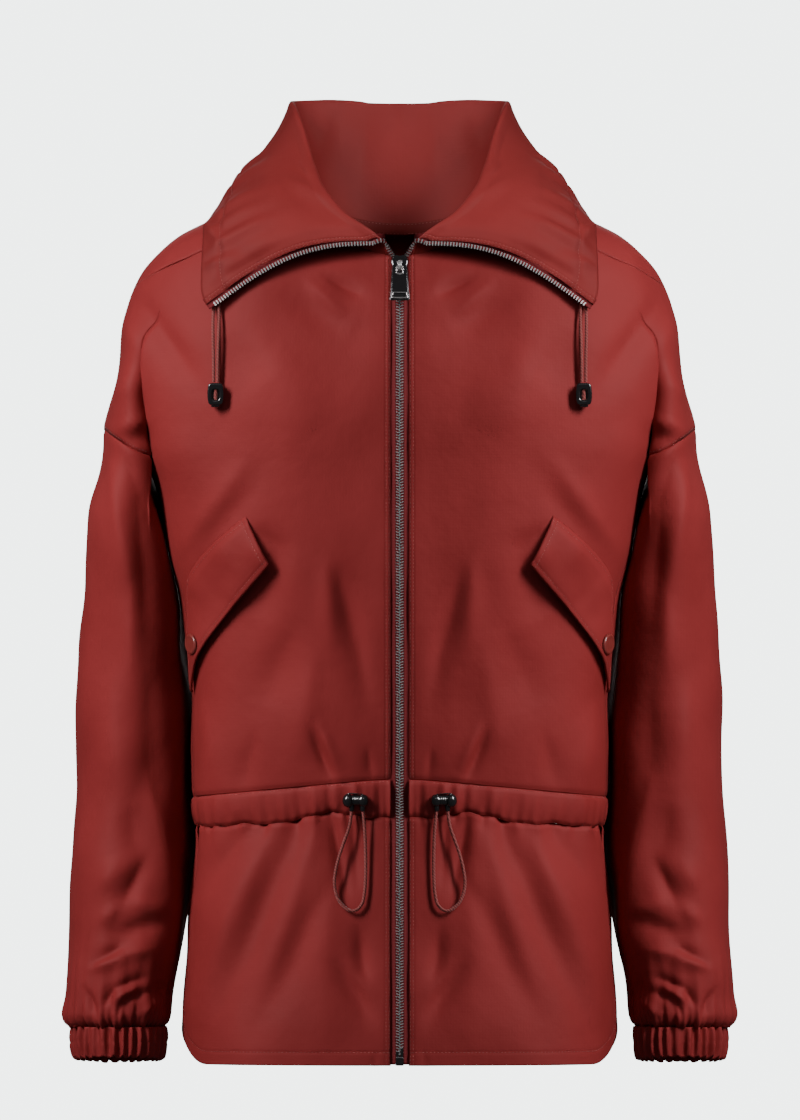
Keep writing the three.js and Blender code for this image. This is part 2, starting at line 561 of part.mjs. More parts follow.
// Pocket flap: a slanted piece hung from its upper edge, its lower corner on the side seam
function flapPoint(u, v, out) {
  const top = { angle: lerp(FLAP.top.angle, FLAP.side.angle, u), z: lerp(FLAP.top.z, FLAP.side.z, u) };
  const foot = { angle: lerp(FLAP.inner.angle, FLAP.tip.angle, u), z: lerp(FLAP.inner.z, FLAP.tip.z, u) };
  const angle = lerp(top.angle, foot.angle, v);
  const z = lerp(top.z, foot.z, v);
  return bodyPoint(ringAt(body.zFront, z, ARMPIT, CASING_TOP, 0.005), angle, out);
}
const flapLift = (u, v) => lerp(FLAP.edge, FLAP.seat, smoothstep(v, 0, 0.2)) + CLOTH
  + FLAP.lift * Math.sin(Math.PI / 2 * v) * (1 - 0.75 * u);
function flap(sign) {
  return wall(patch(sign, 7, 5, (u, v) => mirrored(flapPoint(v, u, flapLift(v, u)), sign)), CLOTH, 0);
}

// A round disc with a domed face, laid on a place along its outward direction
function disc(place, out, radius, thickness) {
  const profile = [[0, 0], [radius, 0], [radius, thickness * 0.45], [radius * 0.86, thickness * 0.85], [0, thickness]];
  const geometry = new THREE.LatheGeometry(profile.map(([r, h]) => new THREE.Vector2(r, h)), 20);
  const turn = new THREE.Quaternion().setFromUnitVectors(V(0, 1, 0), out);
  return geometry.applyQuaternion(turn).translate(place.x, place.y, place.z);
}

// A moulded part seen from the front: an outline extruded back from y, with rounded edges
function moulded(outline, front, depth, round) {
  const geometry = new THREE.ExtrudeGeometry(outline, {
    depth: depth - 2 * round, bevelSize: round, bevelThickness: round, bevelOffset: -round, bevelSegments: 1, curveSegments: 3,
  });
  return geometry.rotateX(Math.PI / 2).translate(0, front + depth - round, 0);
}
function lockOutline(width, height, waist) {
  const w = width / 2;
  const h = height / 2;
  const shape = new THREE.Shape();
  shape.moveTo(-w + waist, -h);
  shape.quadraticCurveTo(0, -h + waist * 0.9, w - waist, -h);
  shape.quadraticCurveTo(w, -h, w, 0);
  shape.quadraticCurveTo(w, h, w - waist, h);
  shape.quadraticCurveTo(0, h - waist * 0.9, -w + waist, h);
  shape.quadraticCurveTo(-w, h, -w, 0);
  shape.quadraticCurveTo(-w, -h, -w + waist, -h);
  return shape;
}
function polygon(points) {
  return new THREE.Shape(points.map(([x, z]) => new THREE.Vector2(x, z)));
}
function cord(route, sign) {
  const curve = new THREE.CatmullRomCurve3(route.map(([x, y, z]) => mirrored(V(x, y, z), sign)), false, 'centripetal');
  const section = new THREE.Shape();
  section.absarc(0, 0, CORD / 2, 0, Math.PI * 2);
  const steps = Math.round(curve.getLength() / (CORD * 2.6));
  return new THREE.ExtrudeGeometry(section, { steps, curveSegments: 4, extrudePath: curve, bevelEnabled: false });
}

add('back', back(), 'shell');
add('casing_back', wall([...casingBack(1), ...casingBack(-1)], CLOTH, CASING.gap), 'shell');
add('skirt_back', wall([...skirtBack(1), ...skirtBack(-1)]), 'shell');
add('collar', wall([...collar(1), ...collar(-1)]), 'shell');
for (const { side, sign } of SIDES) {
  add(`front_${side}`, front(sign), 'shell');
  add(`casing_${side}`, wall(casingFront(sign), CLOTH, CASING.gap), 'shell');
  add(`skirt_${side}`, wall(skirtFront(sign)), 'shell');
  add(`sleeve_${side}`, wall(sleeve(sign), CLOTH, ARMHOLE_GAP), 'shell');
  add(`cuff_${side}`, wall(cuff(sign)), 'shell');
  add(`flap_${side}`, flap(sign), 'shell');
  const seat = flapPoint(SNAP.along, SNAP.down, flapLift(SNAP.along, SNAP.down) + SNAP.seat);
  const outward = flapPoint(SNAP.along, SNAP.down, 20).sub(flapPoint(SNAP.along, SNAP.down, 0)).normalize();
  add(`snap_${side}`, disc(mirrored(seat, sign), mirrored(outward, sign), SNAP.radius, SNAP.thickness), 'shell');
  add(`zip_tape_${side}`, zipStrip(sign, 0.15, HEM - 0.02, ZIP_STEPS, TAPE.inner, TAPE.outer,
    CLOTH + TAPE.behind, TAPE.thickness), 'tape');
  add(`collar_tape_${side}`, collarStrip(sign, 0.58, 0.995, 14, TAPE.inner, TAPE.onCollar,
    TAPE.behind, TAPE.thickness), 'tape');
  add(`collar_teeth_${side}`, collarStrip(sign, 0.56, 0.985, 14, 0, TEETH.onCollar,
    TAPE.behind + (TAPE.thickness - TEETH.thickness) / 2, TEETH.thickness), 'teeth');
}


// Closed zip below the slider, and the box at its foot
const zipPlace = (z) => {
  const ring = ringAt(body.zFront, z, NECK, HEM, 0.002);
  return { ring, y: bodyPoint(ring, 0).y };
};
const zipMiddle = CLOTH + TAPE.behind + TAPE.thickness / 2;
const chain = [];
const chainFrom = zipPlace(SLIDER.bottom - 0.4).ring;
const chainTo = zipPlace(body.zFront(HEM) + BOX.height + 0.4).ring;
for (let s = 0; s <= ZIP_STEPS; s += 1) {
  const p = bodyPoint(lerp(chainFrom, chainTo, s / ZIP_STEPS), 0);
  chain.push([[-1, -1], [1, -1], [1, 1], [-1, 1]].map(([x, y]) => (
    V(x * TEETH.half, p.y + zipMiddle + y * TEETH.thickness / 2, p.z))));
}
add('zip_chain', bar(chain), 'teeth');
const footY = zipPlace(body.zFront(HEM) + BOX.height / 2).y + zipMiddle - BOX.thickness / 2;
const footZ = body.zFront(HEM);
add('zip_box', moulded(polygon([[-BOX.width / 2, footZ], [BOX.width / 2, footZ], [BOX.width / 2, footZ + BOX.height],
  [-BOX.width / 2, footZ + BOX.height]]), footY, BOX.thickness, 0.5), 'nickel');

// Slider: a tapered body over the zip's fork, with a bail that the pull tab hangs from
const sliderY = zipPlace((SLIDER.top + SLIDER.bottom) / 2).y + zipMiddle - TAPE.thickness / 2 - TAPE.behind;
const lean = -Math.atan((zipPlace(SLIDER.bottom).y - zipPlace(SLIDER.top).y) / (SLIDER.bottom - SLIDER.top));
const sliderMiddle = (SLIDER.top + SLIDER.bottom) / 2;
// Everything on the slider is drawn upright around its middle, then leans with the front
const onSlider = (geometry) => geometry.rotateX(lean).translate(0, sliderY, sliderMiddle);
const local = (z) => z - sliderMiddle;
add('zip_slider', onSlider(moulded(polygon([[-SLIDER.waist / 2, local(SLIDER.bottom)],
  [SLIDER.waist / 2, local(SLIDER.bottom)], [SLIDER.shoulder / 2, local(SLIDER.top) - 5],
  [SLIDER.shoulder / 2 - 1.5, local(SLIDER.top)], [1.5 - SLIDER.shoulder / 2, local(SLIDER.top)],
  [-SLIDER.shoulder / 2, local(SLIDER.top) - 5]]), -SLIDER.thickness, SLIDER.thickness, 0.8)), 'nickel');

// Bail: an arch in the middle plane; drawn as height and reach, then turned to stand forward
const face = -SLIDER.thickness - SEAM_GAP;
const arch = new THREE.Shape();
arch.moveTo(BAIL.up, 0)
  .quadraticCurveTo(BAIL.up, BAIL.reach, 0, BAIL.reach)
  .quadraticCurveTo(-BAIL.down, BAIL.reach, -BAIL.down, 0)
  .lineTo(BAIL.wire - BAIL.down, 0)
  .quadraticCurveTo(BAIL.wire - BAIL.down, BAIL.reach - BAIL.wire, 0, BAIL.reach - BAIL.wire)
  .quadraticCurveTo(BAIL.up - BAIL.wire, BAIL.reach - BAIL.wire, BAIL.up - BAIL.wire, 0);
const bail = new THREE.ExtrudeGeometry(arch, { depth: 2 * BAIL.half, bevelEnabled: false, curveSegments: 5 });
bail.applyMatrix4(new THREE.Matrix4().makeBasis(V(0, 0, 1), V(0, -1, 0), V(1, 0, 0)));
add('zip_bail', onSlider(bail.translate(-BAIL.half, face, local(HINGE.z))), 'nickel');

// Pull tab: a tapered plate with a slot that the bail passes through
const tab = polygon([[-PULL.footHalf, -PULL.below + 2], [2 - PULL.footHalf, -PULL.below], [PULL.footHalf - 2, -PULL.below],
  [PULL.footHalf, -PULL.below + 2], [PULL.half, PULL.above - 1.2], [PULL.half - 1.5, PULL.above],
  [1.5 - PULL.half, PULL.above], [-PULL.half, PULL.above - 1.2]]);
tab.holes.push(new THREE.Path([[-1, 1], [-1, 0], [1, 0], [1, 1]].map(([x, foot]) => (
  new THREE.Vector2(x * PULL.slotHalf, foot ? PULL.slotFoot : PULL.slotTop)))));
const pull = new THREE.ExtrudeGeometry(tab, { depth: PULL.thickness, bevelEnabled: false });
pull.rotateX(Math.PI / 2).translate(0, PULL.thickness / 2, 0).rotateX(lean);
add('pull_tab', pull, 'nickel').position.set(0, face - HINGE.off, local(HINGE.z))
  .applyAxisAngle(V(1, 0, 0), lean).add(V(0, sliderY, sliderMiddle));

// Cord stops and drawcords
for (const { side, sign } of SIDES) {
  const waist = moulded(lockOutline(WAIST_LOCK.width, WAIST_LOCK.height, 5), WAIST_LOCK.y, WAIST_LOCK.depth, 1.6);
  add(`waist_lock_${side}`, waist.translate(sign * WAIST_LOCK.x, 0, WAIST_LOCK.z), 'lock');
  const collarLock = moulded(lockOutline(COLLAR_LOCK.width, COLLAR_LOCK.height, 3), COLLAR_LOCK.y, COLLAR_LOCK.depth, 1);
  add(`collar_lock_${side}`, collarLock.translate(sign * COLLAR_LOCK.x, 0, COLLAR_LOCK.z), 'lock');
  add(`waist_cord_${side}`, cord(WAIST_CORD, sign), 'cord');
  add(`collar_cord_${side}_outer`, cord(COLLAR_CORD, sign), 'cord');
  add(`collar_cord_${side}_inner`, cord(COLLAR_CORD_INNER, sign), 'cord');
}

export default parka;
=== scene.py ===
"""A light parka with a tall funnel collar worn open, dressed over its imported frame."""
import json
import logging
import math
from dataclasses import dataclass, field
from enum import Enum
from typing import Callable, Iterable, Sequence

import bmesh
import bpy
import numpy as np
from mathutils import Matrix, Vector

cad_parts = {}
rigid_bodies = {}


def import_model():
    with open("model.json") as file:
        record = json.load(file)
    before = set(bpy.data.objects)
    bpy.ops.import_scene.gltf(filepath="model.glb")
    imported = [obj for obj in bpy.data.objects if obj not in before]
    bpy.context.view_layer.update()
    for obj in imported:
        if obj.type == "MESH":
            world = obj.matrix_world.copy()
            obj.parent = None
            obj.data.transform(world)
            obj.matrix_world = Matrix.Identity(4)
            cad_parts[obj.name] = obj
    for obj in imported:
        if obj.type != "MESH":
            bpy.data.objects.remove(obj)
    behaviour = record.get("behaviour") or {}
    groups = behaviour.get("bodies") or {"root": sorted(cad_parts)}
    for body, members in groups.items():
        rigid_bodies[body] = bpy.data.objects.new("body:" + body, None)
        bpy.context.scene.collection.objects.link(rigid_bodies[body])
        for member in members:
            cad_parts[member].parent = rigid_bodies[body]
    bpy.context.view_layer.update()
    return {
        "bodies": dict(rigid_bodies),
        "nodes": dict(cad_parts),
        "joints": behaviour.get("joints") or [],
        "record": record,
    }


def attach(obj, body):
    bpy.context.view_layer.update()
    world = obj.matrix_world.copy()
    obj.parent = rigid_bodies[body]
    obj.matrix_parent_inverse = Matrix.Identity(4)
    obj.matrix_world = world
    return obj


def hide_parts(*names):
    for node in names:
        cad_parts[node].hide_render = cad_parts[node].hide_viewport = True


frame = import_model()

LOG = logging.getLogger("parka")
MM = 0.001
BODY = "parka"
CLOTH = 1.2
FRONT_EDGE = 7.4
Array = np.ndarray
Surface = Callable[[Array, Array], Array]
Outline = Sequence[tuple[float, float]]

# Rings of the body from neck seam to hem, in millimetres. half_width, front and back are the
# plan's half sizes, power its squareness, z_front, z_side and z_back the ring's height there,
# arm_out how far the dropped shoulder reaches, crease the angle of the fold at the arm.
RING_COLUMNS = (
    "ring", "half_width", "front", "back", "power", "z_front", "z_side", "z_back", "arm_out", "crease",
)
RINGS = (
    (0, 74, 84, 66, 2.1, -23, 14, 1, 74, 42),
    (1, 112, 88, 79, 2.1, -33, 12, -9, 112, 50),
    (2, 152, 94, 90, 2.15, -46, 7, -21, 152, 57),
    (3, 178, 99.5, 96, 2.2, -58, -1.5, -34, 178, 62),
    (4, 200, 104, 100, 2.25, -72, -17, -50, 200, 66),
    (5, 214, 108, 103, 2.3, -86, -33, -68, 214, 69),
    (6, 226, 113, 106, 2.35, -106, -62, -94, 226, 72),
    (7, 231, 117, 108, 2.45, -124, -90, -116, 231.5, 74),
    (8, 228, 120.5, 109, 2.6, -146, -125, -141, 237.5, 74.5),
    (9, 220, 122, 110, 2.8, -167, -157, -165, 244, 74.5),
    (10, 212, 122, 110, 3, -188, -188, -188, 250, 74.5),
    (11, 202, 122.5, 110, 3, -218, -218, -218, 250, 74.5),
    (12, 192, 122, 108, 2.9, -265, -265, -265, 250, 72),
    (13, 181, 119, 106, 2.8, -310, -310, -310, 250, 70),
    (14, 177.6, 116, 104, 2.8, -346, -346, -346, 250, 68),
    (15, 171.5, 112, 102, 2.75, -390, -393, -390, 250, 66),
    (16, 173, 109.5, 101, 2.7, -423, -432, -424, 250, 65),
    (17, 172, 106, 99, 2.7, -456, -471, -458, 250, 64),
    (18, 168.5, 103, 96, 2.7, -486.5, -496, -488, 250, 64),
    (19, 169.5, 105, 98, 2.7, -512, -517, -513, 250, 64),
    (20, 175, 109.5, 102, 2.7, -556, -559, -556, 250, 64),
    (21, 179, 115, 108, 2.7, -622, -622, -622, 250, 64),
    (22, 181.5, 118, 110, 2.7, -662, -662, -662, 250, 64),
    (23, 181, 119, 111, 2.7, -691.5, -691.5, -691.5, 250, 64),
)
NECK = 0
ARMPIT = 10
CASING_TOP = 17
CASING_FOOT = 18
HEM = 23
ARM_ARC = 118
ARMHOLE_RISE = 0.7
UNDER = (360 - 2 * ARM_ARC) / ARM_ARC
SHOULDER_SEAM = ((0, 56), (2, 62), (3.6, 69), (4.9, 78), (6, 90), (10, 90))
SIDE_SEAM = ((10, 84), (12, 80), (13, 77), (15, 80), (23, 80))

SLEEVE_COLUMNS = ("z", "outer", "inner", "depth", "middle")
SLEEVE = (
    (-166, 247, 188, 65, -3),
    (-188, 250.5, 187, 66, -3),
    (-241, 258, 186, 67, 1),
    (-310, 263.5, 181, 66, 6),
    (-372, 266.6, 178, 64, 8),
    (-474, 270.7, 176, 61, 6),
    (-576, 274.5, 179, 56, -4),
    (-624, 275.4, 187, 52, -12),
    (-650, 275.4, 190.5, 47, -16),
    (-661.8, 271, 194.5, 40, -18),
)
# The sleeve's inner side lies a little behind the body's side: angle, width and depth of the bulge
SLEEVE_TUCK = (143, 26, 20)
SLEEVE_FOOT = -661.6
SLEEVE_CLEAR = ((-188, 1.1), (-215, 2), (-300, 2.6), (-700, 3))

# Collar stations from the zip's edge to the centre back: angle on the neck seam, the crest of
# the roll, the free edge, and how far the leaf bows up and forward between them.
COLLAR_COLUMNS = ("at", "neck", "cx", "cy", "cz", "ex", "ey", "ez", "bow_up", "bow_out")
COLLAR = (
    (0, 1.8, 12, -92, -11.5, 158, -100, -69.6, 17, 3),
    (1, 14, 27, -92, 1, 163.5, -93, -50, 15, 5),
    (2, 30, 46, -84, 14.5, 163.2, -81, -25, 13, 6),
    (3, 48, 62.5, -65, 33, 160.8, -60, -2.5, 11, 5),
    (4, 66, 70.5, -39, 53, 154.5, -30, 11.5, 9, 2),
    (5, 88, 78, -6, 80, 145.5, 5, 23, 7, 0),
    (6, 108, 86, 20, 101, 135, 38, 33.5, 3, -2),
    (7, 130, 90, 48, 109.5, 112, 76, 36, 2, -4),
    (8, 152, 56, 77, 110.5, 66, 103, 36, 1, -5),
    (9, 180, 0, 88, 110, 0, 113, 36, 1, -6),
)
# How far beside the zip a second point is taken to find the way across the collar
BESIDE_ZIP = 0.12
# The roll over the crest: its radius, and the shares of the depth where it starts and ends
ROLL = 5.0
ROLL_START = 0.42
ROLL_END = 0.56
CHANNEL_WIDTH = 20.0
COLLAR_DEPTH = 185.0

# Routes of the drawcords on the wearer's left, in metres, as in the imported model.
WAIST_CORD = (
    (0.0396, -0.1092, -0.4798), (0.0404, -0.1098, -0.488), (0.042, -0.1096, -0.496),
    (0.0452, -0.1096, -0.505), (0.048, -0.1098, -0.513), (0.0508, -0.1104, -0.522),
    (0.0528, -0.1112, -0.531), (0.0538, -0.1122, -0.541), (0.0516, -0.1134, -0.552),
    (0.046, -0.1144, -0.5602), (0.0384, -0.1148, -0.5638), (0.032, -0.1144, -0.5594),
    (0.0292, -0.1136, -0.55), (0.0282, -0.1124, -0.538), (0.028, -0.1112, -0.526),
    (0.0282, -0.1104, -0.514), (0.0286, -0.11, -0.502), (0.0294, -0.1096, -0.491),
    (0.0306, -0.1092, -0.4798),
)
COLLAR_CORD_OUTER = (
    (0.1536, -0.0957, -0.0625), (0.1537, -0.0956, -0.067), (0.1539, -0.0972, -0.073),
    (0.154, -0.0994, -0.08), (0.1539, -0.102, -0.09), (0.1537, -0.1038, -0.1),
    (0.1535, -0.1054, -0.11), (0.1534, -0.1066, -0.119), (0.1534, -0.1072, -0.1279),
)
COLLAR_CORD_INNER = (
    (0.1492, -0.0957, -0.0625), (0.1491, -0.0956, -0.067), (0.149, -0.0972, -0.073),
    (0.1491, -0.0994, -0.08), (0.1494, -0.102, -0.09), (0.1497, -0.1038, -0.1),
    (0.1499, -0.1054, -0.11), (0.15, -0.1066, -0.119), (0.15, -0.1072, -0.1279),
)


class Column:
    """A smooth curve through one column of a table, with no overshoot between its rows."""

    def __init__(self, keys: Sequence[float], values: Sequence[float]) -> None:
        """Prepare the curve.

        Args:
            keys: where each row stands, rising or falling.
            values: the column's value in each row.
        """
        order = np.argsort(keys)
        self.x = np.asarray(keys, float)[order]
        self.y = np.asarray(values, float)[order]
        slope = np.diff(self.y) / np.diff(self.x)
        self.tangent = np.concatenate(([slope[0]], np.zeros(len(slope) - 1), [slope[-1]]))
        product = slope[:-1] * slope[1:]
        total = np.where(slope[:-1] + slope[1:] == 0, 1, slope[:-1] + slope[1:])
        self.tangent[1:-1] = np.where(product > 0, 2 * product / total, 0)

    def __call__(self, at: Array) -> Array:
        """Return the curve's value at each place.

        Args:
            at: the places.

        Returns:
            The curve's values.
        """
        at = np.clip(at, self.x[0], self.x[-1])
        i = np.clip(np.searchsorted(self.x, at, side="right") - 1, 0, len(self.x) - 2)
        h = self.x[i + 1] - self.x[i]
        t = (at - self.x[i]) / h
        rise = (3 - 2 * t) * t * t
        return ((1 - rise) * self.y[i] + rise * self.y[i + 1]
                + t * (1 - t) * h * ((1 - t) * self.tangent[i] - t * self.tangent[i + 1]))


def table(names: Sequence[str], rows: Sequence[Sequence[float]]) -> dict[str, Column]:
    """Make a curve for every column of a table but its first, which is the key."""
    keys = [row[0] for row in rows]
    return {name: Column(keys, [row[i] for row in rows]) for i, name in enumerate(names) if i}


def lerp(a: Array, b: Array, t: Array) -> Array:
    """Return the value a share t of the way from a to b."""
    return a + (b - a) * t


def smooth(x: Array, low: float, high: float) -> Array:
    """Return a smooth step from 0 at low to 1 at high."""
    t = np.clip((x - low) / (high - low), 0, 1)
    return t * t * (3 - 2 * t)


def unit(v: Array) -> Array:
    """Return the vectors with length 1."""
    return v / np.maximum(np.linalg.norm(v, axis=-1, keepdims=True), 1e-9)


def stack(x: Array, y: Array, z: Array) -> Array:
    """Return points from their three coordinates."""
    return np.stack(np.broadcast_arrays(x, y, z), axis=-1).astype(float)


@dataclass(frozen=True)
class Crease:
    """A soft ridge (+) or trough (-) between two places seen from the front or the back."""

    face: int
    x1: float
    z1: float
    x2: float
    z2: float
    width: float
    depth: float
    sharp: float = 0.4

    def lift(self, p: Array, middle: float) -> Array:
        """Return how far the crease lifts the cloth.

        Args:
            p: points of the surface on the side x > 0.
            middle: the y of the surface's middle plane.

        Returns:
            The lift in millimetres for each point.
        """
        dx = self.x2 - self.x1
        dz = self.z2 - self.z1
        x = p[..., 0] - self.x1
        z = p[..., 2] - self.z1
        along = np.clip((x * dx + z * dz) / (dx * dx + dz * dz), -0.25, 1.25)
        inside = np.clip(along, 0, 1)
        bend = 0.06 * math.hypot(dx, dz) * np.sin(math.pi * inside)
        away = np.hypot(x - inside * dx, z - inside * dz)
        away = np.abs(away - 0.15 * bend)
        wide = self.width * (0.7 + 0.5 * inside)
        round_form = np.exp(-(away / wide) ** 2)
        sharp_form = np.exp(-away / (0.8 * wide)) * (1 - np.exp(-away / 1.5) * 0.1)
        face = smooth(self.face * (p[..., 1] - middle), 2, 30) * smooth(p[..., 0], 12, 34)
        ends = np.sin(math.pi * lerp(0.1, 0.9, inside))
        return face * self.depth * ends * lerp(round_form, sharp_form, self.sharp)


# Where each fold runs, seen from the front (-1) or the back (1): width, depth and sharpness.
# Soft ridges stand out (+), troughs fall in (-).
BODY_CREASES = tuple(Crease(*row) for row in (
    (-1, 214, -62, 168, -131, 10, -6, 0.5),
    (-1, 226, -74, 209, -112, 9, 3.5, 0.4),
    (-1, 234, -143, 215, -121, 8, 3.5, 0.5),
    (-1, 234, -167, 209, -158, 5, 4, 0.7),
    (-1, 228, -176, 208, -172, 6, -4, 0.5),
    (-1, 146, -89, 113, -132, 18, -3.6, 0.2),
    (-1, 113, -102, 70, -172, 24, 3.4, 0.1),
    (-1, 90, -60, 40, -84, 14, -3, 0.3),
    (-1, 60, -40, 30, -56, 6, -4, 0.5),
    (-1, 74, -46, 44, -74, 7, 3, 0.4),
    (-1, 178, -264, 126, -192, 8, 3, 0.5),
    (-1, 160, -262, 120, -214, 9, -2.4, 0.4),
    (-1, 97, -266, 120, -324, 15, -4.6, 0.3),
    (-1, 118, -250, 95, -270, 8, -3, 0.4),
    (-1, 60, -278, 56, -350, 10, 3.6, 0.3),
    (-1, 50, -290, 22, -394, 10, -4, 0.4),
    (-1, 88, -334, 114, -396, 16, -3.6, 0.3),
    (-1, 72, -360, 84, -440, 13, 3, 0.3),
    (-1, 71, -418, 56, -456, 5, -5.5, 0.7),
    (-1, 65, -412, 50, -450, 6, 3.4, 0.5),
    (-1, 26, -432, 22, -456, 4, -3.4, 0.7),
    (-1, 120, -420, 132, -466, 8, -2.6, 0.5),
    (-1, 160, -400, 150, -466, 10, 2.6, 0.4),
    (-1, 128, -498, 172, -560, 12, -4.6, 0.4),
    (-1, 109, -504, 167, -640, 12, 5, 0.4),
    (-1, 91, -508, 158, -660, 13, -5.6, 0.4),
    (-1, 70, -500, 115, -640, 12, 4.4, 0.4),
    (-1, 57, -541, 120, -660, 12, -3.8, 0.3),
    (-1, 66, -500, 60, -660, 14, 3, 0.2),
    (-1, 57, -484, 43, -552, 6, -6, 0.6),
    (-1, 39, -484, 35, -545, 7, -5.5, 0.5),
    (-1, 34, -582, 26, -624, 8, -4.4, 0.4),
    (-1, 54, -610, 14, -660, 9, -4, 0.4),
    (-1, 42, -608, 14, -644, 7, 2.6, 0.4),
    (-1, 20, -680, 19, -694, 3, -2, 0.6),
    (1, 206, -70, 150, -190, 14, 6, 0.4),
    (1, 180, -60, 130, -160, 14, -5, 0.4),
    (1, 120, -290, 60, -450, 15, -5.4, 0.4),
    (1, 84, -300, 40, -440, 13, 4.4, 0.3),
    (1, 35, -380, 22, -458, 9, -5, 0.5),
    (1, 190, -100, 120, -260, 12, -4, 0.5),
    (1, 60, -60, 90, -190, 18, 4, 0.3),
    (1, 30, -120, 44, -300, 22, -3.6, 0.2),
    (1, 150, -370, 138, -465, 8, 4.4, 0.6),
    (1, 130, -400, 118, -465, 7, -3.6, 0.6),
    (1, 70, -500, 110, -680, 14, 5.6, 0.4),
    (1, 90, -502, 142, -650, 11, -5, 0.5),
    (1, 25, -500, 38, -670, 13, -4.6, 0.3),
    (1, 46, -500, 66, -660, 10, 4, 0.4),
    (1, 130, -505, 166, -640, 11, 4, 0.4),
))
SLEEVE_CREASES = tuple(Crease(*row) for row in (
    (-1, 228, -190, 208, -236, 10, -4.6, 0.4),
    (-1, 238, -198, 221, -304, 8, 4.6, 0.5),
    (-1, 221, -304, 222, -372, 10, 4, 0.3),
    (-1, 216, -232, 206, -330, 12, -4.6, 0.4),
    (-1, 250, -250, 246, -400, 14, -3, 0.2),
    (-1, 206, -380, 200, -500, 13, -4, 0.3),
    (-1, 240, -380, 232, -470, 14, 3, 0.2),
    (-1, 223, -478, 216, -524, 15, -4.6, 0.3),
    (-1, 206, -458, 186, -580, 10, 5, 0.4),
    (-1, 210, -524, 238, -576, 9, -7, 0.5),
    (-1, 247, -548, 231, -524, 10, 3.6, 0.4),
    (-1, 249, -574, 221, -556, 7, 5, 0.6),
    (-1, 221, -556, 196, -568, 7, 3.6, 0.5),
    (-1, 241, -585, 196, -574, 7, -6, 0.6),
    (-1, 251, -607, 222, -588, 6, -5.4, 0.6),
    (-1, 253, -613, 226, -601, 6, 4.4, 0.5),
    (-1, 226, -601, 204, -596, 7, 3, 0.4),
    (-1, 259, -630, 248, -655, 4, -4.4, 0.6),
    (-1, 245, -643, 236, -629, 4.5, -4.4, 0.6),
    (-1, 236, -629, 211, -620, 4.5, -4.4, 0.6),
    (-1, 234, -652, 228, -639, 4.5, -4, 0.6),
    (-1, 228, -639, 205, -631, 4.5, -4, 0.6),
    (-1, 238, -640, 218, -627, 4.5, 3.4, 0.5),
    (-1, 214, -650, 200, -640, 4.5, 3, 0.5),
    (-1, 198, -622, 193, -638, 5, -4, 0.6),
    (-1, 264, -600, 262, -648, 10, 3, 0.3),
    (1, 214, -240, 244, -380, 13, -5.4, 0.4),
    (1, 225, -200, 240, -300, 8, 4, 0.5),
    (1, 250, -440, 205, -520, 12, 6, 0.4),
    (1, 256, -470, 214, -548, 10, -5, 0.5),
    (1, 205, -580, 248, -618, 9, -5.4, 0.5),
    (1, 210, -568, 250, -600, 8, 4.4, 0.5),
    (1, 230, -600, 252, -650, 6, 4, 0.5),
    (1, 222, -606, 238, -655, 5, -4, 0.6),
    (1, 252, -610, 262, -652, 5, -4, 0.6),
    (1, 206, -610, 214, -654, 5, 3.4, 0.5),
))
COLLAR_CREASES = tuple(Crease(*row) for row in (
    (-1, 82, 54, 73, 43, 4, -2.4, 0.5),
    (-1, 90, 37, 54, 18, 6.5, -3.6, 0.5),
    (-1, 92, 29, 60, 12, 9, 2, 0.3),
    (-1, 120, 56, 100, 18, 15, -2.6, 0.3),
    (-1, 112, 16, 76, -2, 14, 1.8, 0.2),
    (-1, 140, -16, 108, -34, 10, 2, 0.3),
    (-1, 163, 4, 145, -14, 5, -4, 0.5),
    (-1, 160, -34, 144, -27, 4, -3, 0.6),
    (-1, 150, -44, 112, -50, 8, -2, 0.3),
    (1, 60, 95, 80, 50, 12, -4, 0.3),
    (1, 20, 100, 30, 45, 12, 3.4, 0.3),
))


@dataclass(frozen=True)
class Crinkle:
    """Fine uneven waves of a light crisp cloth, as a sum of plane waves."""

    seed: int
    height: float = 0.35
    shortest: float = 22.0
    longest: float = 90.0
    count: int = 14

    def lift(self, p: Array) -> Array:
        """Return the lift in millimetres at each point.

        Args:
            p: the points.

        Returns:
            The lift.
        """
        draw = np.random.default_rng(self.seed)
        total = np.zeros(p.shape[:-1])
        for _ in range(self.count):
            length = draw.uniform(self.shortest, self.longest)
            direction = unit(draw.normal(size=3) * (1, 0.6, 0.75)) * 2 * math.pi / length
            total += np.sin(p @ direction + draw.uniform(0, 2 * math.pi)) * (length / self.longest) ** 0.8
        return self.height * total / math.sqrt(self.count) * 1.6


# The broad unevenness that all the cloth shares, so that pieces agree at their seams
DRAPE = Crinkle(5, 1.5, 60, 170, 9)


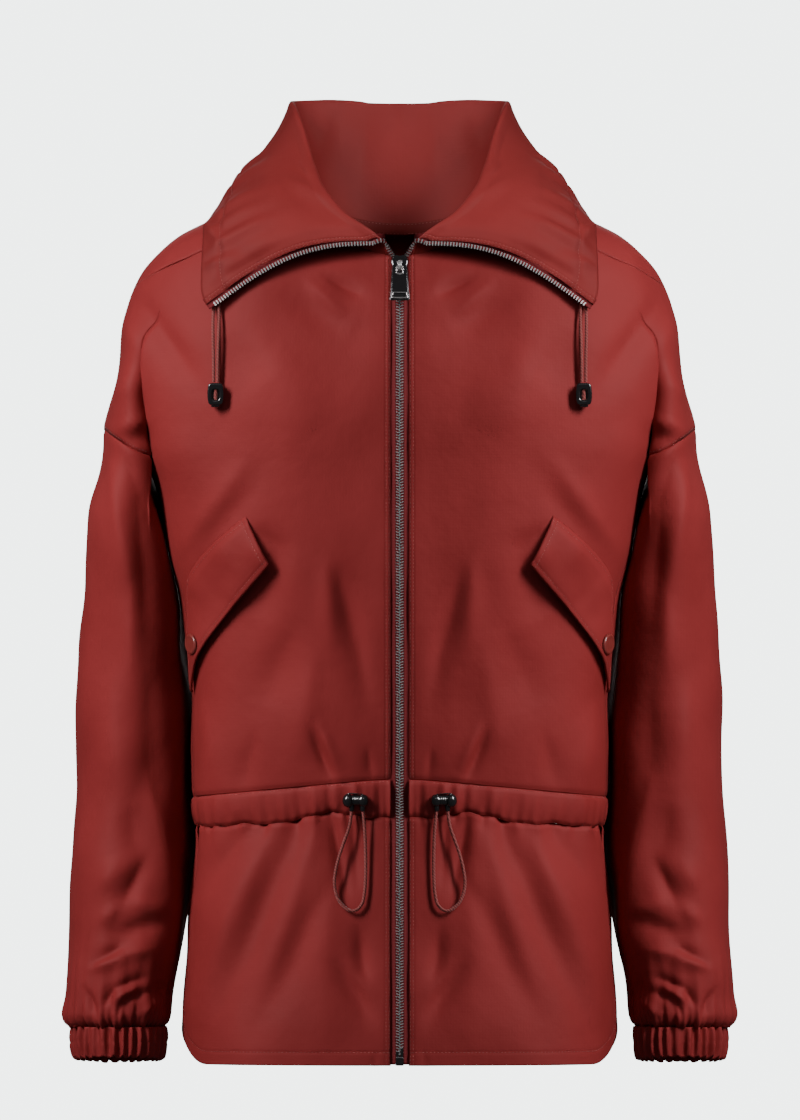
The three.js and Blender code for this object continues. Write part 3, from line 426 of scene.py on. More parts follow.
@dataclass(frozen=True)
class Form:
    """A surface with the steps that its outward normal is taken over, its creases and crinkle."""

    base: Surface
    step_u: float
    step_v: float
    creases: tuple[Crease, ...] = ()
    crinkle: Crinkle | None = None
    middle: float = 0.0
    outward: int = -1
    draped: bool = True

    def normal(self, u: Array, v: Array) -> Array:
        """Return the outward unit normals.

        Args:
            u: the first parameter.
            v: the second parameter.

        Returns:
            The normals.
        """
        du = self.base(u + self.step_u, v) - self.base(u - self.step_u, v)
        dv = self.base(u, v + self.step_v) - self.base(u, v - self.step_v)
        return unit(np.cross(du, dv)) * self.outward

    def dressed(self, u: Array, v: Array, out: Array | float = 0.0) -> tuple[Array, Array]:
        """Return the creased points and their normals.

        Args:
            u: the first parameter.
            v: the second parameter.
            out: how far to move each point outwards.

        Returns:
            The points and the normals.
        """
        p = self.base(u, v)
        n = self.normal(u, v)
        lift = np.zeros(p.shape[:-1]) + out
        for crease in self.creases:
            lift += crease.lift(p, self.middle)
        if self.crinkle:
            lift += self.crinkle.lift(p)
        if self.draped:
            below_neck = smooth(-p[..., 2], 50, 110)
            beside_neck = smooth(np.hypot(p[..., 0], p[..., 1]), 90, 135)
            lift += DRAPE.lift(p) * smooth(p[..., 0], 9, 45) * np.maximum(below_neck, beside_neck)
        return p + n * lift[..., None], n


BODY_TABLE = table(RING_COLUMNS, RINGS)
SLEEVE_TABLE = table(SLEEVE_COLUMNS, SLEEVE)
COLLAR_TABLE = table(COLLAR_COLUMNS, COLLAR)
SEAM_OF_SHOULDER = Column(*zip(*SHOULDER_SEAM))
SEAM_OF_SIDE = Column(*zip(*SIDE_SEAM))
CLEAR_OF_SLEEVE = Column(*zip(*SLEEVE_CLEAR))


def body_base(degrees: Array, ring: Array) -> Array:
    """Return points of the body's rings at an angle from the centre front, on the side x > 0.

    Args:
        degrees: angles from the centre front.
        ring: rings, counted from the neck seam.

    Returns:
        The points.
    """
    t = BODY_TABLE
    s = np.abs(np.sin(np.radians(degrees)))
    c = np.cos(np.radians(degrees))
    depth = np.where(c > 0, t["front"](ring), t["back"](ring))
    power = t["power"](ring)
    r = ((s / t["half_width"](ring)) ** power + (np.abs(c) / depth) ** power) ** (-1 / power)
    end = np.where(c > 0, t["z_front"](ring), t["z_back"](ring))
    return stack(r * np.sin(np.radians(degrees)), -r * c, lerp(end, t["z_side"](ring), s * s))


def arm_base(turn: Array, ring: Array) -> Array:
    """Return points of the ring's half round the arm, turn from -1 in front to 1 behind.

    Args:
        turn: turns round the arm.
        ring: rings, counted from the neck seam.

    Returns:
        The points.
    """
    crease = BODY_TABLE["crease"](ring)
    front = body_base(crease, ring)
    back = body_base(180 - crease, ring)
    flat = body_base(lerp(crease, 180 - crease, (turn + 1) / 2), ring)
    arc = math.radians(ARM_ARC)
    start = np.where((turn < 0)[..., None], front, back)
    out = BODY_TABLE["arm_out"](ring)
    half = (out - start[..., 0]) / (1 - math.cos(arc))
    curved = stack(out - half * (1 - np.cos(arc * turn)),
                   np.abs(start[..., 1]) * np.sin(arc * turn) / math.sin(arc), flat[..., 2])
    return lerp(flat, curved, smooth(ring, 6, 9)[..., None])


def armhole_ring(turn: Array) -> Array:
    """Return the ring that the armhole seam runs on."""
    return ARMPIT - ARMHOLE_RISE * np.clip(1 - turn * turn, 0, 1) ** 1.7


def body_reach(y: Array, z: Array) -> Array:
    """Return how far the body reaches sideways at a depth and height below the armpit.

    Args:
        y: depths.
        z: heights.

    Returns:
        The distances.
    """
    rings = np.linspace(ARMPIT, HEM, 400)
    ring = np.interp(-z, -BODY_TABLE["z_side"](rings), rings)
    depth = np.where(y < 0, BODY_TABLE["front"](ring), BODY_TABLE["back"](ring))
    power = BODY_TABLE["power"](ring)
    return BODY_TABLE["half_width"](ring) * np.clip(1 - np.abs(y / depth) ** power, 0, 1) ** (1 / power)


def sleeve_base(turn: Array, down: Array) -> Array:
    """Return points of the sleeve, turn -1 to 1 round the outside and on under the arm.

    Args:
        turn: turns round the arm.
        down: shares of the sleeve's length.

    Returns:
        The points.
    """
    turn, down = np.broadcast_arrays(turn, down)
    t = SLEEVE_TABLE
    outside = np.clip(turn, -1, 1)
    over = arm_base(outside, armhole_ring(outside))
    crease = BODY_TABLE["crease"](np.array(float(ARMPIT)))
    front = body_base(crease, ARMPIT)
    back = body_base(180 - crease, ARMPIT)
    y = lerp(back[..., 1], front[..., 1], (turn - 1) / UNDER)
    armpit = float(BODY_TABLE["z_side"](np.array(float(ARMPIT))))
    under = stack(body_reach(y, np.full_like(y, armpit)), y, armpit)
    top = np.where((np.abs(turn) <= 1)[..., None], over, under)
    z = lerp(top[..., 2], SLEEVE_FOOT, down)
    a = np.radians(turn * ARM_ARC)
    outer = t["outer"](z)
    inner = t["inner"](z)
    section = stack((outer + inner) / 2 + (outer - inner) / 2 * np.cos(a),
                    t["middle"](z) + t["depth"](z) * np.sin(a), z)
    drop = top[..., 2] - z
    p = lerp(stack(top[..., 0], top[..., 1], z), section, smooth(drop, 0, 70)[..., None])
    angle, width, depth = SLEEVE_TUCK
    behind = np.exp(-((turn * ARM_ARC - angle) / width) ** 2)
    p[..., 0] -= depth * behind * smooth(drop, 10, 90) * smooth(z, -640, -560)
    reach = body_reach(p[..., 1], z) + CLEAR_OF_SLEEVE(z)
    pushed = (p[..., 0] + reach + np.hypot(reach - p[..., 0], 3 * smooth(drop, 0, 60))) / 2
    p[..., 0] = np.where((down > 0.001) | (np.abs(turn) > 0.97), pushed, p[..., 0])
    return p


def collar_base(at: Array, up: Array) -> Array:
    """Return points of the collar's outside face, from neck seam over the roll to the edge.

    Args:
        at: places round the neck, from the zip to the centre back.
        up: shares of the collar's depth.

    Returns:
        The points.
    """
    at, up = np.broadcast_arrays(np.asarray(at, float), np.asarray(up, float))
    t = COLLAR_TABLE
    neck = body_base(t["neck"](at), np.zeros_like(at)) * (0.986, 0.986, 1) + (0, 0, -0.8)
    crest = stack(t["cx"](at), t["cy"](at), t["cz"](at))
    edge = stack(t["ex"](at), t["ey"](at), t["ez"](at))
    fall = unit(edge - crest)
    stand = unit(crest - neck)
    turn = unit(fall - stand)
    roll = np.minimum(ROLL, np.linalg.norm(crest - neck, axis=-1) * 0.35)[..., None]
    rise = crest - stand * roll * 2 - turn * roll * 0.1
    drop = crest + fall * roll * 2
    control = crest - turn * roll * 0.6
    low = np.clip(up / ROLL_START, 0, 1)[..., None]
    mid = np.clip((up - ROLL_START) / (ROLL_END - ROLL_START), 0, 1)[..., None]
    down = np.clip((up - ROLL_END) / (1 - ROLL_END), 0, 1)
    bow = np.sin(math.pi * down) * (1 - 0.15 * down)
    standing = lerp(neck, rise, low)
    rolling = (1 - mid) ** 2 * rise + 2 * mid * (1 - mid) * control + mid ** 2 * drop
    falling = lerp(drop, edge, down[..., None]) + stack(
        np.zeros_like(bow), -t["bow_out"](at) * bow, t["bow_up"](at) * bow)
    first = np.where((up < ROLL_START)[..., None], standing, rolling)
    return np.where((up < ROLL_END)[..., None], first, falling)


class Edge(Enum):
    """An edge of a grid of points: its first or last column or row."""

    FIRST_COLUMN = "first column"
    LAST_COLUMN = "last column"
    TOP = "top"
    FOOT = "foot"


@dataclass
class Grid:
    """A grid of surface points with their normals, columns first."""

    points: Array
    normals: Array

    @classmethod
    def of(cls, form: Form, u: Array, v: Array, out: Array | float = 0.0) -> "Grid":
        """Sample a form.

        Args:
            form: the surface.
            u: the first parameter on a grid.
            v: the second parameter on a grid.
            out: how far to move each point outwards.

        Returns:
            The sampled grid.
        """
        return cls(*form.dressed(u, v, out))

    def distance(self, edge: Edge) -> Array:
        """Return each point's distance from an edge, along its row or column.

        Args:
            edge: the edge.

        Returns:
            The distances.
        """
        axis = 0 if edge in (Edge.FIRST_COLUMN, Edge.LAST_COLUMN) else 1
        steps = np.linalg.norm(np.diff(self.points, axis=axis), axis=-1)
        zero = np.zeros((1, steps.shape[1])) if axis == 0 else np.zeros((steps.shape[0], 1))
        run = np.concatenate((zero, np.cumsum(steps, axis=axis)), axis=axis)
        if edge in (Edge.LAST_COLUMN, Edge.FOOT):
            run = (run[-1:, :] if axis == 0 else run[:, -1:]) - run
        return run

    def press(self, edge: Edge, depth: float, width: float, at: float = 0.0) -> "Grid":
        """Press a groove into the cloth along an edge, as sewing does; return the grid.

        Args:
            edge: the edge.
            depth: the groove's depth.
            width: the groove's width.
            at: the groove's distance from the edge.

        Returns:
            The same grid.
        """
        away = (self.distance(edge) - at) / width
        self.points -= self.normals * (depth * np.exp(-away * away))[..., None]
        return self

    def line(self, edge: Edge, at: float, out: float = 0.0) -> tuple[Array, Array]:
        """Return the line at a distance from an edge.

        Args:
            edge: the edge that the line follows.
            at: its distance from the edge.
            out: how far the line lies above the cloth.

        Returns:
            The line's points and normals.
        """
        run = self.distance(edge)
        both = np.stack((self.points + self.normals * out, self.normals))
        if edge in (Edge.FIRST_COLUMN, Edge.LAST_COLUMN):
            run = run.T
            both = both.transpose(0, 2, 1, 3)
        if edge in (Edge.LAST_COLUMN, Edge.FOOT):
            run = run[:, ::-1]
            both = both[:, :, ::-1]
        points, normals = (np.array([
            [np.interp(at, run[i], part[i, :, k]) for k in range(3)] for i in range(len(run))
        ]) for part in both)
        return points, unit(normals)

    def mirrored(self, sign: int) -> "Grid":
        """Return the grid for the other side when sign is -1."""
        flip = np.array((sign, 1, 1))
        return Grid(self.points * flip, self.normals * flip)


def fractions(*parts: tuple[float, float, int]) -> Array:
    """Join even runs of values, each given by its start, its end and its number of steps."""
    runs = [np.linspace(a, b, n + 1)[1 if i else 0:] for i, (a, b, n) in enumerate(parts)]
    return np.concatenate(runs)


def cross(u: Array, v: Array) -> tuple[Array, Array]:
    """Return the two parameters of a grid with u along its columns and v down its rows."""
    return np.meshgrid(u, v, indexing="ij")


def along_line(at: Array, run: Array, values: Array) -> Array:
    """Return the values of a line at some distances along it."""
    return np.stack([np.interp(at, run, values[:, k]) for k in range(3)], axis=-1)


def distances(points: Array) -> Array:
    """Return each point's distance along the line of points."""
    return np.concatenate(([0], np.cumsum(np.linalg.norm(np.diff(points, axis=0), axis=1))))


def dial(node: bpy.types.Node, **values: float | tuple[float, ...]) -> None:
    """Set some of a node's sockets, with underscores for the spaces in their names."""
    for key, value in values.items():
        node.inputs[key.replace("_", " ")].default_value = value


class Finish:
    """A finish: a node material made once and worn by any number of pieces."""

    def material(self) -> bpy.types.Material:
        """Return the material, making it the first time."""
        name = f"{type(self).__name__.lower()}_finish"
        return bpy.data.materials.get(name) or self.make(name)

    def make(self, name: str) -> bpy.types.Material:
        """Make the material; each finish has its own way."""
        raise NotImplementedError

    @staticmethod
    def shader(name: str, **inputs: float | tuple[float, ...]) -> tuple[bpy.types.Material, bpy.types.Node]:
        """Make a node material.

        Args:
            name: the material's name.
            inputs: values of the shader's own sockets, with underscores for spaces.

        Returns:
            The material and its shader node.
        """
        material = bpy.data.materials.new(name)
        material.use_nodes = True
        node = material.node_tree.nodes["Principled BSDF"]
        dial(node, **inputs)
        material.diffuse_color = inputs.get("Base_Color", (0.5, 0.5, 0.5, 1))
        return material, node

    @staticmethod
    def ripple(material: bpy.types.Material, node: bpy.types.Node, low: float, high: float,
               strength: float, **noise: float) -> None:
        """Vary the gloss and the surface of a finish by one noise.

        Args:
            material: the material.
            node: its shader node.
            low: the least roughness.
            high: the most roughness.
            strength: the strength of the bump.
            noise: the values of the noise node's sockets.
        """
        nodes = material.node_tree.nodes
        links = material.node_tree.links
        place, grain, gloss, bump = (nodes.new(kind) for kind in (
            "ShaderNodeTexCoord", "ShaderNodeTexNoise", "ShaderNodeMapRange", "ShaderNodeBump"))
        dial(grain, **noise)
        dial(gloss, To_Min=low, To_Max=high)
        dial(bump, Strength=strength, Distance=0.0001)
        links.new(place.outputs["Object"], grain.inputs["Vector"])
        links.new(grain.outputs["Fac"], gloss.inputs["Value"])
        links.new(gloss.outputs["Result"], node.inputs["Roughness"])
        links.new(grain.outputs["Fac"], bump.inputs["Height"])
        links.new(bump.outputs["Normal"], node.inputs["Normal"])


@dataclass(frozen=True)
class Shell(Finish):
    """Brick red light plain weave with a soft sheen, a little uneven in colour."""

    color: tuple[float, float, float, float] = (0.256, 0.0268, 0.0272, 1)
    deep: tuple[float, float, float, float] = (0.216, 0.0212, 0.0214, 1)
    threads_per_metre: float = 2600.0

    def make(self, name: str) -> bpy.types.Material:
        """Make the cloth: broad colour drift, fine crumple and a plain weave as bump.

        Args:
            name: the material's name.

        Returns:
            The material.
        """
        material, node = self.shader(name, Roughness=0.6, Sheen_Weight=0.02, Sheen_Roughness=0.35,
                                     Sheen_Tint=(0.9, 0.35, 0.3, 1), Specular_IOR_Level=0.14)
        nodes = material.node_tree.nodes
        links = material.node_tree.links
        place = nodes.new("ShaderNodeTexCoord")
        drift = nodes.new("ShaderNodeTexNoise")
        dial(drift, Scale=14, Detail=4)
        tone = nodes.new("ShaderNodeMix")
        tone.data_type = "RGBA"
        dial(tone, A=self.deep, B=self.color)
        ramp = nodes.new("ShaderNodeMapRange")
        dial(ramp, From_Min=0.2, From_Max=0.62)
        links.new(place.outputs["Object"], drift.inputs["Vector"])
        links.new(drift.outputs["Fac"], ramp.inputs["Value"])
        links.new(ramp.outputs["Result"], tone.inputs["Factor"])
        links.new(tone.outputs["Result"], node.inputs["Base Color"])
        gloss = nodes.new("ShaderNodeMapRange")
        dial(gloss, To_Min=0.58, To_Max=0.72)
        links.new(drift.outputs["Fac"], gloss.inputs["Value"])
        links.new(gloss.outputs["Result"], node.inputs["Roughness"])
        crumple = nodes.new("ShaderNodeTexNoise")
        dial(crumple, Scale=90, Detail=3)
        links.new(place.outputs["Object"], crumple.inputs["Vector"])
        soft = nodes.new("ShaderNodeBump")
        dial(soft, Strength=0.35, Distance=0.0012)
        links.new(crumple.outputs["Fac"], soft.inputs["Height"])
        weave = self.weave(nodes, links, place)
        fine = nodes.new("ShaderNodeBump")
        dial(fine, Strength=0.1, Distance=0.00012)
        links.new(weave, fine.inputs["Height"])
        links.new(soft.outputs["Normal"], fine.inputs["Normal"])
        links.new(fine.outputs["Normal"], node.inputs["Normal"])
        return material

    def weave(self, nodes: bpy.types.Nodes, links: bpy.types.NodeLinks,
              place: bpy.types.Node) -> bpy.types.NodeSocket:
        """Add warp and weft as two crossed waves.

        Args:
            nodes: the material's nodes.
            links: the material's links.
            place: the node that gives the coordinates.

        Returns:
            The height of the two waves' sum.
        """
        total = nodes.new("ShaderNodeMath")
        total.operation = "ADD"
        for slot, direction in enumerate(("X", "Z")):
            wave = nodes.new("ShaderNodeTexWave")
            wave.bands_direction = direction
            dial(wave, Scale=self.threads_per_metre / 20, Distortion=0.6)
            links.new(place.outputs["Object"], wave.inputs["Vector"])
            links.new(wave.outputs["Fac"], total.inputs[slot])
        return total.outputs["Value"]


@dataclass(frozen=True)
class CollarShell(Shell):
    """The same cloth on the collar as a darker copy with painted shade, because both side lamps reach it.
    """

    color: tuple[float, float, float, float] = (0.170, 0.0172, 0.0164, 1)
    deep: tuple[float, float, float, float] = (0.140, 0.0132, 0.0125, 1)


@dataclass(frozen=True)
class ShadedShell(Shell):
    """The cloth of the narrow binding, toned down for its shade deep inside the neck."""

    color: tuple[float, float, float, float] = (0.120, 0.0105, 0.0092, 1)
    deep: tuple[float, float, float, float] = (0.100, 0.0082, 0.0072, 1)


@dataclass(frozen=True)
class ZipTape(Finish):
    """Crimson woven tape with fine ribs along it."""

    color: tuple[float, float, float, float] = (0.15, 0.008, 0.011, 1)

    def make(self, name: str) -> bpy.types.Material:
        """Make the tape with ribs as bump.

        Args:
            name: the material's name.

        Returns:
            The material.
        """
        material, node = self.shader(name, Base_Color=self.color, Roughness=0.75, Specular_IOR_Level=0.3)
        nodes = material.node_tree.nodes
        links = material.node_tree.links
        place, ribs, bump = (nodes.new(kind) for kind in (
            "ShaderNodeTexCoord", "ShaderNodeTexWave", "ShaderNodeBump"))
        ribs.bands_direction = "Z"
        dial(ribs, Scale=260, Distortion=0.4)
        dial(bump, Strength=0.6, Distance=0.0002)
        links.new(place.outputs["Object"], ribs.inputs["Vector"])
        links.new(ribs.outputs["Fac"], bump.inputs["Height"])
        links.new(bump.outputs["Normal"], node.inputs["Normal"])
        return material


@dataclass(frozen=True)
class WornMetal(Finish):
    """Plated metal with faint scuffs that vary its gloss."""

    color: tuple[float, float, float, float] = (0.30, 0.29, 0.29, 1)
    low: float = 0.22
    high: float = 0.42
    metal: float = 1.0

    def make(self, name: str) -> bpy.types.Material:
        """Make the metal with scuffs in its roughness and a fine bump.

        Args:
            name: the material's name.

        Returns:
            The material.
        """
        material, node = self.shader(name, Base_Color=self.color, Metallic=self.metal)
        self.ripple(material, node, self.low, self.high, 0.12, Scale=700, Detail=5)
        return material


@dataclass(frozen=True)
class Gunmetal(WornMetal):
    """The pale grey metal of teeth and bail."""

    color: tuple[float, float, float, float] = (0.55, 0.53, 0.53, 1)
    low: float = 0.18
    high: float = 0.34
    metal: float = 0.8


@dataclass(frozen=True)
class BlackNickel(WornMetal):
    """Polished black nickel of slider, box and pull tab."""

    color: tuple[float, float, float, float] = (0.13, 0.12, 0.125, 1)
    low: float = 0.08
    high: float = 0.2


@dataclass(frozen=True)
class RimNickel(WornMetal):
    """The worn, paler rims of the black nickel."""

    color: tuple[float, float, float, float] = (0.34, 0.32, 0.32, 1)
    low: float = 0.12
    high: float = 0.26
    metal: float = 0.85


@dataclass(frozen=True)
class BlackPlastic(Finish):
    """Glossy black moulded plastic with a slight ripple in its gloss."""

    color: tuple[float, float, float, float] = (0.009, 0.008, 0.009, 1)

    def make(self, name: str) -> bpy.types.Material:
        """Make the plastic with a faint unevenness.

        Args:
            name: the material's name.

        Returns:
            The material.
        """
        material, node = self.shader(name, Base_Color=self.color, Coat_Weight=0.6, Coat_Roughness=0.06)
        self.ripple(material, node, 0.14, 0.26, 0.1, Scale=320)
        return material


@dataclass(frozen=True)
class Braid(Finish):
    """Braided cord in the cloth's colour: crossed diagonal strands as bump and shade."""

    color: tuple[float, float, float, float] = (0.285, 0.045, 0.038, 1)
    dark: tuple[float, float, float, float] = (0.14, 0.018, 0.016, 1)

    def make(self, name: str) -> bpy.types.Material:
        """Make the braid.

        Args:
            name: the material's name.

        Returns:
            The material.
        """
        material, node = self.shader(name, Roughness=0.7, Sheen_Weight=0.3)
        nodes = material.node_tree.nodes
        links = material.node_tree.links
        place, strands, bump, tone = (nodes.new(kind) for kind in (
            "ShaderNodeTexCoord", "ShaderNodeTexWave", "ShaderNodeBump", "ShaderNodeMix"))
        strands.bands_direction = "DIAGONAL"
        dial(strands, Scale=210, Distortion=3)
        tone.data_type = "RGBA"
        dial(tone, A=self.dark, B=self.color)
        dial(bump, Strength=0.7, Distance=0.0003)
        links.new(place.outputs["Object"], strands.inputs["Vector"])
        links.new(strands.outputs["Fac"], bump.inputs["Height"])
        links.new(strands.outputs["Fac"], tone.inputs["Factor"])
        links.new(tone.outputs["Result"], node.inputs["Base Color"])
        links.new(bump.outputs["Normal"], node.inputs["Normal"])
        return material


@dataclass(frozen=True)
class Backdrop(Finish):
    """Plain pale paper that shows evenly bright, as a studio sweep does."""

    color: tuple[float, float, float, float] = (0.80, 0.85, 0.84, 1)
    glow: float = 5.3

    def make(self, name: str) -> bpy.types.Material:
        """Make the paper."""
        return self.shader(name, Base_Color=self.color, Roughness=0.95, Specular_IOR_Level=0.1,
                           Emission_Color=self.color, Emission_Strength=self.glow)[0]


def place_object(name: str, data: bpy.types.ID, finish: Finish) -> bpy.types.Object:
    """Put a mesh or curve into the scene as an object with its finish.

    Args:
        name: the name it gets.
        data: the mesh or curve.
        finish: its finish.

    Returns:
        The object.
    """
    piece = bpy.data.objects.new(name, data)
    bpy.context.scene.collection.objects.link(piece)
    data.materials.append(finish.material())
    return piece


def keep(piece: bpy.types.Object, slot: str, *nodes: str, body: str = BODY) -> bpy.types.Object:
    """Let a piece ride on a body, log the name of its slot and stand for nodes of the model.

    Args:
        piece: the piece.
        slot: its material slot.
        body: the body it rides on.
        nodes: the nodes of the model that it stands for.

    Returns:
        The same piece.
    """
    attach(piece, body)
    if nodes:
        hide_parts(*nodes)
    LOG.info("%s: %d faces, slot %s, for %s", piece.name,
             len(getattr(piece.data, "polygons", ())), slot, ", ".join(nodes) or "nothing")
    return piece


def grid_mesh(name: str, grids: Iterable[tuple[Grid, int]], finish: Finish,
              thickness: float = CLOTH, closed: bool = False) -> bpy.types.Object:
    """Make one cloth piece from grids.

    Args:
        name: the piece's name.
        grids: each grid and the sense (1 or -1) that turns its faces outwards.
        finish: the cloth's finish.
        thickness: the wall's thickness in millimetres, inwards; 0 leaves the faces as they are.
        closed: whether the columns close into a ring.

    Returns:
        The piece.
    """
    points = []
    faces = []
    for grid, sense in grids:
        base = sum(len(p) for p in points)
        nu, nv = grid.points.shape[:2]
        points.append(grid.points.reshape(-1, 3) * MM)
        index = base + np.arange(nu * nv).reshape(nu, nv)
        if closed:
            index = np.vstack((index, index[:1]))
        corners = (index[:-1, :-1], index[:-1, 1:], index[1:, 1:], index[1:, :-1])
        quads = np.stack(corners, axis=-1).reshape(-1, 4)
        faces.append(quads if sense > 0 else quads[:, ::-1])
    mesh = bpy.data.meshes.new(name)
    mesh.from_pydata(np.concatenate(points).tolist(), [], np.concatenate(faces).tolist())
    work = bmesh.new()
    work.from_mesh(mesh)
    bmesh.ops.remove_doubles(work, verts=work.verts, dist=0.02 * MM)
    work.to_mesh(mesh)
    work.free()
    mesh.polygons.foreach_set("use_smooth", [True] * len(mesh.polygons))
    piece = place_object(name, mesh, finish)
    if thickness:
        wall = piece.modifiers.new("wall", "SOLIDIFY")
        wall.thickness = thickness * MM
        wall.offset = -1
        wall.use_even_offset = False
    return piece


SIDES = (("left", 1), ("right", -1))


def body_form(seed: int) -> Form:
    """Return the body's surface, with its angle and ring as parameters."""
    return Form(body_base, 0.2, 0.02, BODY_CREASES, Crinkle(seed))


def edge_angle(ring: Array) -> Array:
    """Return the angle at which a front's edge stands beside the zip."""
    return np.degrees(np.arctan2(FRONT_EDGE, BODY_TABLE["front"](ring)))


def turn_of_seam(ring: Array) -> Array:
    """Return the turn round the arm at which the shoulder seam runs."""
    crease = BODY_TABLE["crease"](ring)
    return 2 * (SEAM_OF_SHOULDER(ring) - crease) / (180 - 2 * crease) - 1


@dataclass
class Sewing:
    """Rows of stitches, collected from the pieces and made as one mesh of small threads."""

    length: float = 2.3
    pitch: float = 3.1
    radius: float = 0.22
    points: list[Array] = field(default_factory=list)

    def row(self, line: tuple[Array, Array], sign: int = 1) -> None:
        """Add a row of stitches along a line.

        Args:
            line: the line's points and normals.
            sign: -1 mirrors the row to the other side.
        """
        points, normals = (part * (sign, 1, 1) for part in line)
        run = distances(points)
        if run[-1] < self.pitch * 2:
            return
        starts = np.arange(self.pitch / 2, run[-1] - self.length, self.pitch)
        a = along_line(starts, run, points)
        b = along_line(starts + self.length, run, points)
        n = unit(along_line(starts, run, normals))
        side = unit(np.cross(b - a, n)) * self.radius
        middle = (a + b) / 2
        up = n * self.radius * 0.9
        self.points.append(np.stack((a, b, middle + side, middle + up, middle - side, middle - up), axis=1))

    def make(self) -> None:
        """Make the stitches."""
        corners = np.concatenate(self.points)
        waist = (2, 3, 4, 5)
        one = np.array([(0, waist[k], waist[(k + 1) % 4]) for k in range(4)]
                       + [(1, waist[(k + 1) % 4], waist[k]) for k in range(4)])
        faces = (one[None] + 6 * np.arange(len(corners))[:, None, None]).reshape(-1, 3)
        mesh = bpy.data.meshes.new("stitching")
        mesh.from_pydata((corners.reshape(-1, 3) * MM).tolist(), [], faces.tolist())
        keep(place_object("stitching", mesh, Braid()), "shell")


@dataclass
class UpperBody:
    """The two fronts and the back, from the neck seam to the drawcord casing."""

    sewing: Sewing
    edge_rows: tuple[float, float] = (1.5, 4.0)
    seam_depth: float = 1.1
    seam_width: float = 2.6

    def high(self) -> Array:
        """Return the rows from neck to armpit."""
        return fractions((0, 0.03, 4), (0.03, 1, 66))

    def low(self) -> Array:
        """Return the rows from armpit to casing."""
        return fractions((0, 0.93, 70), (0.93, 1, 14))

    def over_arm(self, form: Form, start: float | None, end: float | None, columns: Array) -> Grid:
        """Return the grid over shoulder and arm.

        Args:
            form: the surface.
            start: the first turn; None is the shoulder seam.
            end: the last turn; None is the shoulder seam.
            columns: the shares of the way between them.

        Returns:
            The grid.
        """
        u, v = cross(columns, self.high())
        seam = turn_of_seam(lerp(NECK, armhole_ring(np.zeros(1))[0], v))
        turn = lerp(seam if start is None else start, seam if end is None else end, u)
        ring = lerp(NECK, armhole_ring(turn), v)
        return Grid.of(form, turn, ring)

    def front(self, side: str, sign: int) -> None:
        """Make one front.

        Args:
            side: the side's name, left or right as worn.
            sign: 1 for the left side, -1 for the right.
        """
        seed = 11 if sign > 0 else 12
        form = body_form(seed)
        arm = Form(arm_base, 0.02, 0.02, BODY_CREASES, Crinkle(seed))
        grids = []
        columns = fractions((0, 0.012, 4), (0.012, 0.09, 14), (0.09, 1, 58))
        for rows, first, last in ((self.high(), NECK, ARMPIT), (self.low(), ARMPIT, CASING_TOP)):
            u, v = cross(columns, rows)
            ring = lerp(first, last, v)
            grid = Grid.of(form, lerp(edge_angle(ring), BODY_TABLE["crease"](ring), u), ring)
            grid.press(Edge.FIRST_COLUMN, 1.0, 1.2)
            for at in self.edge_rows:
                grid.press(Edge.FIRST_COLUMN, 0.4, 1.1, at)
                self.sewing.row(grid.line(Edge.FIRST_COLUMN, at, 0.05), sign)
            grids.append(grid)
        u, v = cross(fractions((0, 1, 10)), self.low())
        ring = lerp(ARMPIT, CASING_TOP, v)
        grids.append(Grid.of(form, lerp(BODY_TABLE["crease"](ring), SEAM_OF_SIDE(ring), u), ring))
        for grid in grids[1:]:
            grid.press(Edge.FOOT, self.seam_depth, self.seam_width)
        over = self.over_arm(arm, -1, None, fractions((0, 0.9, 26), (0.9, 1, 8)))
        over.press(Edge.LAST_COLUMN, 0.8, 1.6).press(Edge.FOOT, self.seam_depth, self.seam_width)
        self.sewing.row(over.line(Edge.LAST_COLUMN, 2.2, 0.05), sign)
        self.sewing.row(over.line(Edge.FOOT, 2.5, 0.05), sign)
        grids.append(over)
        piece = grid_mesh(f"front_{side}_cloth", [(g.mirrored(sign), sign) for g in grids], Shell())
        keep(piece, "shell", f"front_{side}")

    def back(self) -> None:
        """Make the back, which wraps over the shoulders to the forward seams."""
        form = body_form(13)
        arm = Form(arm_base, 0.02, 0.02, BODY_CREASES, Crinkle(13))
        grids = []
        for rows, first, last in ((self.high(), NECK, ARMPIT), (self.low(), ARMPIT, CASING_TOP)):
            u, v = cross(fractions((0, 1, 44)), rows)
            ring = lerp(first, last, v)
            grids.append(Grid.of(form, lerp(180 - BODY_TABLE["crease"](ring), 180, u), ring))
        u, v = cross(fractions((0, 1, 18)), self.low())
        ring = lerp(ARMPIT, CASING_TOP, v)
        grids.append(Grid.of(form, lerp(SEAM_OF_SIDE(ring), 180 - BODY_TABLE["crease"](ring), u), ring))
        for grid in grids[1:]:
            grid.press(Edge.FOOT, self.seam_depth, self.seam_width)
        over = self.over_arm(arm, None, 1, fractions((0, 0.08, 6), (0.08, 1, 36)))
        over.press(Edge.FIRST_COLUMN, 0.5, 1.6).press(Edge.FOOT, self.seam_depth, self.seam_width)
        grids.append(over)
        for grid in grids[:2]:
            grid.points[-1, :, 0] = 0
        for _, sign in SIDES:
            self.sewing.row(over.line(Edge.FOOT, 2.5, 0.05), sign)
            self.sewing.row(over.line(Edge.FIRST_COLUMN, 2.0, 0.05), sign)
        halves = [(g.mirrored(sign), sign) for _, sign in SIDES for g in grids]
        piece = grid_mesh("back_cloth", halves, Shell())
        keep(piece, "shell", "back")

    def make(self) -> None:
        """Make fronts and back."""
        for side, sign in SIDES:
            self.front(side, sign)
        self.back()


